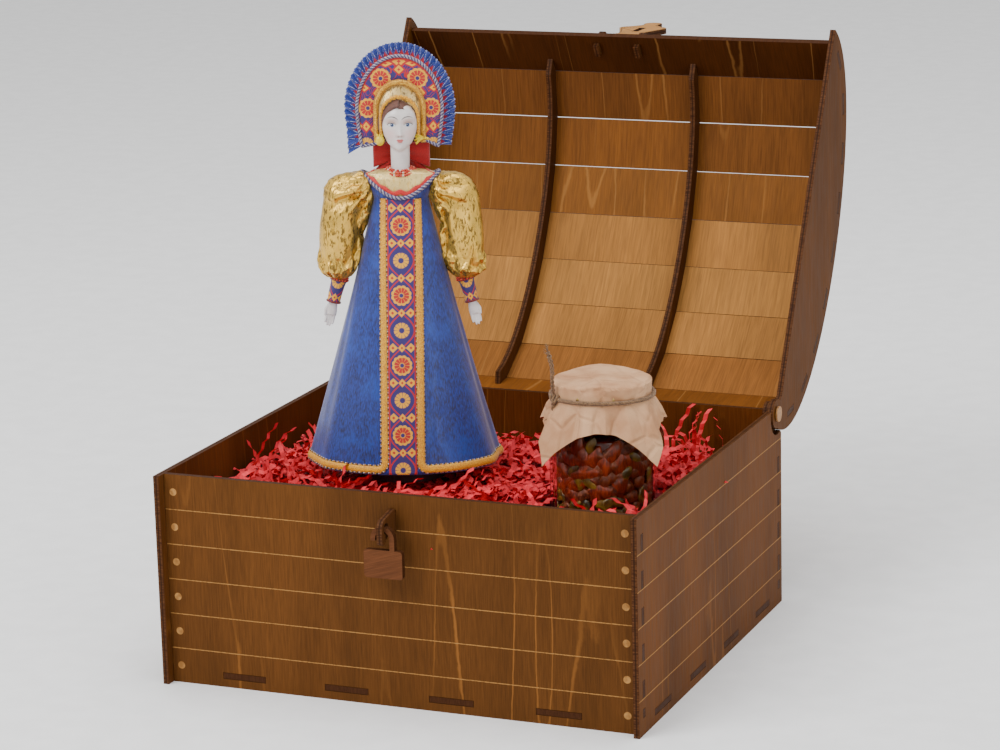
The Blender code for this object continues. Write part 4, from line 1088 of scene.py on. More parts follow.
def makeHair():
    # two smooth bands combed from a parting down past the ears, and a low knot behind the neck
    parting, side = 245.4 * mm, 12.0 * mm

    def band(u, v, sign):
        # u runs from the parting down to the ear, v from the face edge back over the head
        sweep = u ** 0.9
        angle = sweep * math.radians(128)
        front = Vector((side * 0.93 * math.sin(min(angle, math.pi / 2)) * (1 - 0.05 * u), 0.0, 0.0))
        front.z = parting - (parting - 229 * mm) * (1 - math.cos(min(angle, math.pi / 2))) ** 0.86
        if angle > math.pi / 2:
            front.z -= (angle - math.pi / 2) / math.radians(38) * 8 * mm
            front.x -= (angle - math.pi / 2) / math.radians(38) * 1.6 * mm
        rise = 3.2 * mm * (1 - 0.75 * u) * math.sin(math.pi * min(1.0, v * 1.15 + 0.02))
        out = Vector((math.sin(angle * 0.8), 0.0, math.cos(angle * 0.8)))
        depth = -12.2 * mm + 15.0 * mm * sweep ** 1.3
        back = lerp(depth, 7.5 * mm, v)
        spread = 1.0 + 0.10 * math.sin(math.pi * v)
        spot = Vector((front.x * spread, back, front.z)) + out * (rise + v * 2.0 * mm)
        return Vector((sign * max(0.0, spot.x), spot.y, spot.z))

    shapes = []
    for sign in (-1, 1):
        shapes.append(thicken(formSheet(28, 20, lambda u, v, sign=sign: band(u, v, sign)), 1.4 * mm))
    knot = formSheet(32, 20, lambda u, v: Vector((
        5.4 * mm * math.sin(math.pi * v) ** 0.6 * math.sin(2 * math.pi * u),
        6.5 * mm - 4.2 * mm * math.sin(math.pi * v) ** 0.6 * math.cos(2 * math.pi * u),
        lerp(202 * mm, 222 * mm, v))), closed=True)
    shapes.append(seal(knot))
    dollPiece("hair", gather(*shapes), hairMaterial(), ("doll_hair",))


# Headdress: a padded patterned fan, a ruffle round it, cords and golden lace

fanSettings = {
    "top": 279.6 * mm,
    "half": 29.6 * mm,
    "spring": 243.0 * mm,
    "bottom": 217.5 * mm,
    "taper": 3.0 * mm,
    "archTop": 260.6 * mm,
    "archHalf": 15.6 * mm,
    "archBottom": 222.5 * mm,
    "face": 2.4 * mm,
    "back": 12.4 * mm,
}


def fanEdge(share, grow=0.0, settings=None):
    # from the lower left corner over the top to the lower right one
    s = settings or fanSettings
    half, top = s["half"] + grow, s["top"] + grow
    straight = s["spring"] - s["bottom"]
    curve = math.pi * (half + top - s["spring"]) / 2
    at = share * (2 * straight + curve)
    if at < straight:
        down = 1 - at / straight
        return Vector((-half + s["taper"] * down ** 1.5, 0.0, s["spring"] - straight * down))
    if at > straight + curve:
        down = (at - straight - curve) / straight
        return Vector((half - s["taper"] * down ** 1.5, 0.0, s["spring"] - straight * down))
    angle = math.pi * (1 - (at - straight) / curve)
    return Vector((half * math.cos(angle), 0.0, s["spring"] + (top - s["spring"]) * math.sin(angle)))


def headdressCloth():
    material = newMaterial("headdressCloth", roughness=0.6, sheen=0.25)
    tree = material.node_tree
    point = stretch(tree, dollPoint(tree), (1000, 1000, 1000))
    parts = split(tree, point)
    x, z = parts[0], parts[2]
    side = unsigned(tree, x)
    red, yellow, ground = clothTones["red"], clothTones["yellow"], clothTones["ground"]
    colour = ground
    # red scrollwork: rings of contour lines round the rosettes
    scroll = noise(tree, point, 0.11, 1.0, 0.3)
    for level in (0.42, 0.50, 0.58):
        gap = unsigned(tree, minus(tree, scroll, level))
        colour = blendColour(tree, fade(tree, gap, 0.010, 0.005), colour, red)
    for middle, half, tall in (((0.0, 275.0), 4.5, 3.6), ((0.0, 269.6), 3.2, 3.0),
                               ((14.6, 253.6), 2.8, 3.4),
                               ((22.6, 231.0), 2.7, 3.2), ((27.4, 231.2), 2.2, 2.6),
                               ((17.6, 229.0), 2.0, 2.6), ((23.4, 257.2), 3.0, 2.2),
                               ((9.0, 273.6), 4.6, 2.0)):
        dx, dz = minus(tree, side, middle[0]), minus(tree, z, middle[1])
        colour = diamond(tree, colour, dx, dz, half * 1.45, tall * 1.45, red)
        colour = diamond(tree, colour, dx, dz, half, tall, yellow, red)
    for middle, radius in (((12.4, 263.6), 7.0), ((21.3, 243.6), 6.8)):
        dx, dz = minus(tree, side, middle[0]), minus(tree, z, middle[1])
        colour = rosette(tree, colour, dx, dz, radius, 12, 1.5)
    dx, dz = minus(tree, side, 22.5), minus(tree, z, 219.0)
    colour = rosette(tree, colour, dx, dz, 6.0, 14, 1.4, 1.0)
    # rim of plain red near the upper left edge
    away = root(tree, plus(tree, times(tree, over(tree, x, 29.6),
                over(tree, x, 29.6)), times(tree, over(
                    tree, minus(tree, z, 243.0), 36.6), over(
                    tree, minus(tree, z, 243.0), 36.6))))
    rim = times(tree, fade(tree, away, 0.88, 0.92), calc(tree, "GREATER_THAN", z, 246.0))
    colour = blendColour(tree, rim, colour, red)
    weave = noise(tree, point, 3.4, 2.0)
    shade = fade(tree, weave, 0.3, 0.7, 0.80, 1.15)
    colour = blendColour(tree, 1.0, colour, join(tree, shade, shade, shade), "MULTIPLY")
    wire(material, colour=colour, normal=bumps(tree, weave, 0.35, 0.0003))
    return material


def ruffleCloth(count):
    material = newMaterial("ruffleCloth", roughness=0.55, sheen=0.3)
    tree = material.node_tree
    uv = split(tree, addNode(tree, "ShaderNodeUVMap", uv_map="cloth").outputs[0])
    along = times(tree, uv[0], count)
    tooth = calc(tree, "PINGPONG", along, 0.5)
    colour = blendColour(tree, fade(tree, noise(tree, objectPoint(tree), 1500.0, 2.0), 0.35, 0.65),
                         srgb(16, 44, 132), srgb(40, 86, 186))
    # red triangles along the inner side
    share = minus(tree, times(tree, tooth, 0.95), uv[1])
    colour = blendColour(tree, fade(tree, share, -0.01, 0.03), colour, srgb(196, 24, 44))
    # silver dashes that climb the ruffle
    line = unsigned(tree, minus(tree, calc(tree, "PINGPONG", along, 0.5),
                calc(tree, "MULTIPLY_ADD", uv[1], 0.42, 0.04)))
    dash = fade(tree, noise(tree, objectPoint(tree), 1150.0, 1.0), 0.42, 0.52)
    glitter = times(tree, fade(tree, line, 0.034, 0.018), dash)
    colour = blendColour(tree, glitter, colour, srgb(236, 236, 244))
    wire(material, colour=colour, metallic=times(tree, glitter, 0.5))
    return material


def makeHeaddress():
    s = fanSettings
    arch = {"half": s["archHalf"], "top": s["archTop"], "spring": s["spring"],
            "bottom": s["archBottom"] - 2 * mm, "taper": 0.4 * mm}

    def face(u, v):
        # from the inner arch to the rim; the padding swells between them
        inner, rim = fanEdge(u, 0.0, arch), fanEdge(u)
        share = v
        spot = inner.lerp(rim, share)
        spot.y = s["face"] - 1.9 * mm * math.sin(math.pi * share) ** 0.7
        return spot

    def behind(u, v):
        inner, rim = fanEdge(u, 0.0, arch), fanEdge(u)
        spot = rim.lerp(inner, v)
        spot.y = s["back"] + 0.6 * mm * math.sin(math.pi * v)
        return spot

    def loopAround(u, v):
        # one closed skin: over the face, round the rim, across the back and home
        if v < 0.5:
            return face(u, v * 2)
        if v < 0.6:
            spot = face(u, 1.0)
            spot.y = lerp(s["face"], s["back"], (v - 0.5) / 0.1)
            return spot
        if v < 0.9:
            return behind(u, (v - 0.6) / 0.3)
        spot = behind(u, 1.0)
        spot.y = lerp(s["back"], s["face"], (v - 0.9) / 0.1)
        return spot

    shape = seal(formSheet(140, 60, loopAround, closed=True))
    dollPiece("headdress", shape, headdressCloth(), ("doll_headdress",))
    # gold brocade inside the arch, over the crown of the head
    inside = goldBrocade("archBrocade", srgb(232, 206, 146), 0.35, 0.9)

    def crescent(u, v):
        rim = fanEdge(u, -0.3 * mm, arch)
        spot = Vector((rim.x * lerp(0.99, 0.72, v), 0.0, lerp(rim.z, lerp(rim.z, 236 * mm, 0.52), v)))
        spot.y = lerp(s["face"] + 1.0 * mm, -3.0 * mm, v ** 0.8)
        return spot

    shape = thicken(formSheet(48, 10, crescent), 0.6 * mm)
    dollPiece("arch_lining", shape, inside)
    # ruffle
    count = 38
    wide = 8.6 * mm

    def ruffle(u, v):
        spot = fanEdge(u, -0.8 * mm + wide * v)
        turn = u * count * 2 * math.pi
        wave = math.sin(turn) * (0.35 + 0.65 * v)
        spot.y = s["face"] + 3.0 * mm + 1.5 * mm * wave
        middle = Vector((0.0, 0.0, 246 * mm))
        outward = (spot - middle)
        outward.y = 0.0
        spot += outward.normalized() * (0.75 * mm * v * math.cos(turn) ** 2 - 0.5 * mm * v)
        if u < 0.06:
            spot += Vector((-1.0, 0.0, -5.5)) * mm * (1 - u / 0.06) * v
        return spot

    cloth = formSheet(count * 12, 9, ruffle)
    area = sum(face.calc_area() for face in cloth.faces)
    piece = dollPiece("ruffle", thicken(cloth, 0.45 * mm), ruffleCloth(count), ("doll_ruffle",))
    silver = bpy.data.materials["silverCord"]
    violet = bpy.data.materials["violetCord"]
    path = [fanEdge(step / 260, -0.9 * mm) + Vector((0, s["face"] - 1.3 * mm, 0)) for step in range(261)]
    corner = path[-1]
    path += [corner.lerp(Vector((arch["half"], corner.y, arch["bottom"] + 2 * mm)), step / 16)
             for step in range(1, 17)]
    first = path[0]
    path = [Vector((-arch["half"], first.y, arch["bottom"] - 1 * mm)).lerp(first, step / 16)
            for step in range(16)] + path
    for name, material, phases in (("silver_fan_cord", silver, (0.0, math.pi)),
                                   ("violet_fan_cord", violet, (math.pi / 2, 1.5 * math.pi))):
        strands = [sweptCord(twist(path, 0.68 * mm, 4.6 * mm, phase), 0.62 * mm, 2) for phase in phases]
        dollPiece(name, gather(*strands), material)
    lace = threadMaterial("goldLace", srgb(252, 210, 96), srgb(196, 134, 26), 1300.0, 0.45, 0.34)
    line = [fanEdge(step / 200, 0.4 * mm, arch) + Vector((0, s["face"] - 1.6 * mm, 0))
            for step in range(201)]
    rope = [sweptCord(twist(line, 1.15 * mm, 4.2 * mm, phase), 1.0 * mm, 2)
            for phase in (0.0, 2.1, 4.2)]
    knobs = []
    for index, spot in enumerate(resample(line, 2.4 * mm)):
        knobs.append(spot + Vector((chance.uniform(-1, 1) * 0.8 * mm, -0.9 * mm,
                                    chance.uniform(-1, 1) * 0.8 * mm)))
    dollPiece("arch_lace", gather(*rope, beads(knobs, 1.1 * mm)), lace)
    yellow = bpy.data.materials["goldBraid"]
    tight = {"half": 12.6 * mm, "top": 252.0 * mm, "spring": 238.0 * mm, "bottom": 222.0 * mm,
             "taper": 0.2 * mm}
    line = []
    for step in range(161):
        share = step / 160
        over = math.sin(math.pi * share)
        line.append(fanEdge(share, 0.0, tight) + Vector((0, lerp(-2.0 * mm, -6.2 * mm, over), 0)))
    wavy = [spot + Vector((0, 0, 1)) * 0.6 * mm * math.sin(index * 0.85)
            for index, spot in enumerate(line)]
    dollPiece("yellow_loop_braid", gather(sweptCord(wavy, 1.15 * mm, 2), beads(
        [spot + Vector((0, -0.5 * mm, 0.3 * mm)) for spot in resample(line, 2.2 * mm)], 1.15 * mm)),
        yellow)


def makeBow():
    velvet = threadMaterial("redVelvet", srgb(216, 10, 18), srgb(176, 6, 14), 2600.0, rough=0.8,
                            sheen=0.5)

    def loop(u, v, sign):
        # a ribbon loop that leaves the knot, turns back and returns
        angle = (v - 0.5) * 2 * math.pi * 0.94
        reach = 16.5 * mm * (0.5 + 0.5 * math.cos(angle))
        puff = 4.2 * mm * math.sin(angle)
        wide = lerp(4.0 * mm, 8.8 * mm, (0.5 + 0.5 * math.cos(angle)) ** 0.8)
        z = 213.0 * mm + (u - 0.5) * 2 * wide - reach * 0.16
        deep = 11.0 * mm + puff * 0.45 + 1.0 * mm * math.sin(u * 7)
        return Vector((sign * (2.4 * mm + reach), deep, z))

    def tail(u, v, sign):
        wide = lerp(2.8 * mm, 5.2 * mm, v)
        fold = 1.2 * mm * math.sin(u * math.pi * 2 + v * 2)
        return Vector((sign * (3.0 * mm + 12.5 * mm * v ** 0.8) + (u - 0.5) * 2 * wide * 0.9,
                       11.0 * mm + fold, 210.0 * mm - 15.0 * mm * v + sign * (u - 0.5) * 3.0 * mm))

    area = 0.0
    shapes = []
    for sign in (-1, 1):
        for form, columns, rows in ((loop, 10, 40), (tail, 10, 18)):
            shape = formSheet(columns, rows, lambda u, v, sign=sign, form=form: form(u, v, sign))
            area += sum(face.calc_area() for face in shape.faces)
            shapes.append(thicken(shape, 0.8 * mm))
    knot = formSheet(20, 14, lambda u, v: Vector((
        3.2 * mm * math.sin(math.pi * v) * math.sin(2 * math.pi * u),
        10.5 * mm - 2.6 * mm * math.sin(math.pi * v) * math.cos(2 * math.pi * u),
        213 * mm + 4.4 * mm * math.cos(math.pi * v))), closed=True)
    shapes.append(seal(knot))
    piece = dollPiece("bow", gather(*shapes), velvet, ("doll_bow",))


def makeEarrings():
    yellow = mottled("yellowBead", 300.0, 2.0, (0.3, 0.7), srgb(236, 204, 22), srgb(252, 228, 60),
                     roughness=0.25)
    shape = bmesh.new()
    bmesh.ops.create_uvsphere(shape, u_segments=24, v_segments=16, radius=1.0)
    bmesh.ops.scale(shape, vec=(3.1 * mm, 2.6 * mm, 3.7 * mm), verts=shape.verts)
    bmesh.ops.translate(shape, vec=(-13.4 * mm, -4.6 * mm, 222.4 * mm), verts=shape.verts)
    for petal in range(8):
        ring = bmesh.ops.create_icosphere(shape, subdivisions=1, radius=0.7 * mm)
        way = petal / 8 * 2 * math.pi
        bmesh.ops.translate(shape, vec=(-13.4 * mm + 2.0 * mm * math.sin(way), -4.6 * mm + 1.4 * mm
                            * math.cos(way), 226.0 * mm), verts=ring["verts"])
    dollPiece("yellow_earring", shape, yellow)
    threads = []
    for _ in range(30):
        spread = chance.uniform(-0.7, 0.7)
        start = Vector((17.0 * mm, -3.6 * mm, 223.6 * mm))
        reach = chance.uniform(5.5, 7.5) * mm
        end = start + Vector((-reach * math.cos(spread * 0.9), chance.uniform(-1.6, 0.6) * mm,
                              reach * math.sin(spread) * 0.75 - 0.8 * mm))
        middle = start.lerp(end, 0.5) + Vector((0, 0, 0.5 * mm))
        threads.append(sweptCord([start, middle, end], 0.30 * mm, 1))
    knot = beads([Vector((17.4 * mm, -3.6 * mm, 223.6 * mm)), Vector((18.6 * mm, -3.4 * mm, 223.2 * mm))],
                 1.2 * mm)
    dollPiece("yellow_tassel", gather(*threads, knot), yellow)


makeHead()
makeHair()
makeHeaddress()
makeBow()
makeEarrings()
print("head done")

# Arms: puffed sleeves, cuffs and hands

sleeveRows = inMillimetres([  # height, inner edge, outer edge, half depth; all from the doll's middle
    (127.0, 38.2, 47.4, 4.6), (128.6, 35.0, 51.6, 8.4),
    (133.0, 31.6, 56.4, 12.4), (142.0, 28.6, 59.2, 16.0),
    (152.0, 26.2, 60.0, 17.6), (164.0, 23.6, 59.6, 18.2),
    (176.0, 21.6, 58.0, 17.4), (186.0, 19.4, 56.0, 15.6),
    (193.0, 19.2, 53.4, 13.4), (198.5, 21.4, 50.0, 10.6),
    (202.0, 25.6, 45.0, 7.0), (204.0, 34.0, 37.0, 1.2),
])


def sleeveSpot(angle, z, sign):
    inner, outer = tableAt(sleeveRows, z, 1), tableAt(sleeveRows, z, 2)
    deep = tableAt(sleeveRows, z, 3)
    x = (inner + outer) / 2 + (outer - inner) / 2 * math.sin(angle)
    spot = Vector((x, -deep * math.cos(angle), z))
    # gathers run up from the cuff, and folds fan out from the shoulder seam
    middle = Vector(((inner + outer) / 2, 0.0, z))
    out = (spot - middle)
    size = max(out.length, 1e-6)
    low = max(0.0, 1 - (z - 127 * mm) / (26 * mm)) ** 1.2
    ripple = 1.5 * mm * low * math.sin(13 * angle + 0.7 * sign)
    seam = Vector((20.0 * mm, -2.0 * mm, 190.0 * mm))
    way = spot - seam
    away = way.length
    fan = math.atan2(way.z, way.x)
    near = math.exp(-((away - 12 * mm) / (19 * mm)) ** 2)
    ripple += 2.4 * mm * near * math.sin(7.5 * fan + (1.3 if sign > 0 else 0.2) + 0.03 * away / mm)
    spot += out / size * ripple
    return Vector((sign * spot.x, spot.y, spot.z))


def puffed(shape, name, cap):
    # inflates a closed form as cloth, then keeps every point near where it started
    block = blockOf(fused(shape, 1.5 * mm), name)
    start = [vert.co.copy() for vert in block.data.vertices]
    pins = block.vertex_groups.new(name="pins")
    for index, spot in enumerate(start):
        held = max(0.0, 1 - (spot.z - 127 * mm) / (5 * mm))
        held = max(held, max(0.0, 1 - (abs(spot.x) - 19 * mm) / (5 * mm)))
        if held > 0:
            pins.add([index], min(1.0, held), "REPLACE")
    cloth = block.modifiers.new("cloth", "CLOTH")
    cloth.settings.vertex_group_mass = "pins"
    cloth.settings.use_pressure = True
    cloth.settings.uniform_pressure_force = 4.0
    cloth.settings.effector_weights.gravity = 0.0
    cloth.settings.shrink_min = -0.16
    cloth.settings.quality = 6
    cloth.settings.bending_stiffness = 0.4
    cloth.settings.tension_stiffness = 20.0
    cloth.settings.compression_stiffness = 20.0
    cloth.settings.mass = 0.15
    scene = bpy.context.scene
    for step in range(1, 21):
        scene.frame_set(step)
    result = settled(block)
    scene.frame_set(1)
    for index, vert in enumerate(result.vertices):
        move = vert.co - start[index]
        if move.length > cap:
            move *= cap / move.length
        vert.co = start[index] + move
    block = blockOf(result, name)
    fine = block.modifiers.new("fine", "SUBSURF")
    fine.levels = fine.render_levels = 1
    return shapeOf(settled(block))


armSettings = {
    "cuffTop": (42.8 * mm, 0.0, 128.4 * mm),
    "cuffLow": (47.4 * mm, -1.0 * mm, 110.2 * mm),
    "fingers": (7.6 * mm, 9.2 * mm, 9.0 * mm, 7.0 * mm),
    "mostMove": 4.0 * mm,
}


def makeArms():
    s = armSettings
    gold = goldBrocade("sleeveBrocade", srgb(238, 200, 104), 0.8, 1.0)
    cuffCloth = ribbonCloth("cuffCloth", 34.0, 19.0)
    skin = plainPorcelain()
    coral = bpy.data.materials["coralBeads"]
    darkRed = threadMaterial("darkRedBraid", srgb(170, 30, 34), srgb(90, 12, 18), 1800.0)
    for side, sign in (("left", -1), ("right", 1)):
        def puff(u, v, sign=sign):
            share = (1 - math.cos(math.pi * v)) / 2
            return sleeveSpot((u - 0.5) * 2 * math.pi, lerp(127 * mm, 204 * mm, share), sign)

        shape = puffed(seal(formSheet(96, 80, puff, closed=True)), side + "_sleeve", s["mostMove"])
        sleeve = dollPiece(side + "_sleeve", shape, gold, ("doll_%s_sleeve" % side,))
        mirror = Matrix.Diagonal((sign, 1, 1))
        top, low = mirror @ Vector(s["cuffTop"]), mirror @ Vector(s["cuffLow"])
        way = (low - top).normalized()
        across = way.orthogonal().normalized()
        if across.x * sign < 0:
            across = -across
        other = way.cross(across)

        ahead = math.atan2(-other.y, -across.y)

        def cuff(u, v, top=top, low=low, across=across, other=other, ahead=ahead):
            angle = 2 * math.pi * (u - 0.5) + ahead
            radius = lerp(5.3, 4.3, v) * mm + 0.5 * mm * math.exp(-((v - 0.12) / 0.1) ** 2)
            radius += 0.12 * mm * math.sin(angle * 5 + v * 6)
            return top.lerp(low, v) + (across * math.cos(angle) + other * math.sin(angle)) * radius

        shape = seal(formSheet(40, 20, cuff, closed=True))
        dollPiece(side + "_cuff", shape, cuffCloth, ("doll_%s_cuff" % side,))
        rings = []
        for share, radius in ((0.04, 5.5 * mm), (0.13, 5.7 * mm), (0.96, 4.45 * mm)):
            middle = top.lerp(low, share)
            rings.append(sweptCord(ringOf(middle, across, other, radius, 40), 0.75 * mm, 2, closed=True))
        dollPiece(side + "_cuff_braid", gather(*rings), darkRed)
        dots = []
        for share, radius in ((0.02, 6.1 * mm), (0.10, 6.4 * mm)):
            middle = top.lerp(low, share)
            dots += ringOf(middle, across, other, radius, 20)
        dollPiece(side + "_cuff_beads", beads(dots, 0.75 * mm), coral)
        # hand: a palm with four fingers that curl in a little, and a thumb in front
        parts = []
        wrist = low + way * -1.5 * mm
        palm = low + way * 8.5 * mm
        front = Vector((0.0, -1.0, 0.0))
        flat = way.cross(front).normalized()
        skinShape = formSheet(20, 12, lambda u, v: wrist.lerp(palm, v) + flat * (
            lerp(2.6, 3.9, min(1.0, v * 1.4)) * mm * math.cos(2 * math.pi * u)) + front * (
            lerp(2.4, 1.9, v) * mm * math.sin(2 * math.pi * u)), closed=True)
        parts.append(seal(skinShape))
        for finger in range(4):
            start = palm + flat * (finger - 1.5) * 1.75 * mm - way * 1.5 * mm
            reach = s["fingers"][finger]
            curl = front * (1.2 + 0.4 * finger) * mm
            line = [start, start + way * reach * 0.4 + curl * 0.3,
                    start + way * reach * 0.75 + curl * 0.8, start + way * reach + curl * 1.3]
            parts.append(sweptCord([line[0].lerp(line[1], 0.5 * n) for n in range(2)] + line[1:],
                                   1.05 * mm, 3, radii=[1.0, 1.0, 0.95, 0.85, 0.6]))
        start = low + way * 2.0 * mm - flat * 2.6 * mm * sign
        thumb = [start, start + way * 3.5 * mm - flat * 1.4 * mm * sign + front * 0.8 * mm,
                 start + way * 7.5 * mm - flat * 1.0 * mm * sign + front * 1.6 * mm]
        parts.append(sweptCord(thumb, 1.1 * mm, 3, radii=[1.0, 1.0, 0.7]))
        shape = smoothed(shapeOf(fused(gather(*parts), 0.32 * mm)), 5)
        dollPiece(side + "_hand", shape, skin, ("doll_%s_hand" % side,))


makeArms()
stand = newMaterial("blackStand", roughness=0.5)
standTree = stand.node_tree
standGrain = noise(standTree, stretch(standTree, objectPoint(standTree), (1, 1, 0.1)), 300.0, 3.0)
wire(stand, colour=blendColour(standTree, fade(standTree, standGrain, 0.3, 0.7), srgb(34, 24, 34),
                               srgb(58, 40, 52)), normal=bumps(standTree, standGrain, 0.3, 0.0004))
finish(nodes["doll_stand"], stand)

# Turned hinge pins, and burnt dots round the lock plate's rim

pinWood = mottled("pinWood", 500.0, 2.0, (0.3, 0.7), srgb(168, 120, 70), srgb(202, 156, 98),
                  roughness=0.5)
for pinName in [name for name in nodes if "pin" in name]:
    finish(nodes[pinName], pinWood)


def makeRimDots():
    # the dots follow the plate's own outline, a little inside it
    node = nodes["lock_plate"]
    facing = sheetFacing(node)
    shape = bmesh.new()
    shape.from_mesh(node.data)
    bmesh.ops.remove_doubles(shape, verts=shape.verts, dist=0.01 * mm)
    bmesh.ops.dissolve_limit(shape, angle_limit=0.02, verts=shape.verts, edges=shape.edges)
    skins = [face for face in shape.faces if abs(face.normal.dot(facing)) > 0.99]
    dots = bmesh.new()
    for want in (1, -1):
        side = [face for face in skins if face.normal.dot(facing) * want > 0.99]
        if not side:
            continue
        face = max(side, key=lambda item: item.calc_area())
        middle = face.calc_center_median()
        corners = [vert.co.copy() for vert in face.verts]
        line = resample(corners + [corners[0]], 2.4 * mm)
        for spot in line:
            inward = (middle - spot)
            inward -= face.normal * inward.dot(face.normal)
            place = spot + inward.normalized() * 1.6 * mm
            made = bmesh.ops.create_circle(dots, cap_ends=True, radius=0.55 * mm, segments=8)
            turn = face.normal.to_track_quat("Z", "Y").to_matrix().to_4x4()
            bmesh.ops.transform(dots, verts=made["verts"],
                                matrix=Matrix.Translation(place + face.normal * 0.06 * mm) @ turn)
    shape.free()
    burnt = newMaterial("burntDots", roughness=0.8)
    burntTree = burnt.node_tree
    wire(burnt, colour=blendColour(burntTree, noise(burntTree, objectPoint(burntTree), 900.0),
                                   srgb(40, 24, 16), srgb(72, 44, 28)))
    makePiece("lock_plate_dots", dots, burnt, "lock_plate", rounded=False)


makeRimDots()
print("arms done")

# Jar of nuts in honey under a tied paper

jarLow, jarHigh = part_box("jar_glass")
jarMiddle = (jarLow + jarHigh) / 2
facing = math.atan2(0.8371 - jarMiddle.x, 2.0751 + jarMiddle.y)  # the jar's side that faces the camera
jarSettings = {
    "nuts": 190,
    "inner": 32.6 * mm,
    "fill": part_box("jar_contents")[1].z,
    "floor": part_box("jar_contents")[0].z,
    "paper": 124.0 * mm,
    "capRadius": 32.9 * mm,
    "capTop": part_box("jar_cap")[1].z + 0.5 * mm,
    "tied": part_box("jar_cap")[1].z - 9.5 * mm,
    "ends": ((-0.10, 33, 3.0), (-0.16, 30, 2.8), (0.1, 12, -2.0), (0.06, 19, -2.4)),
}


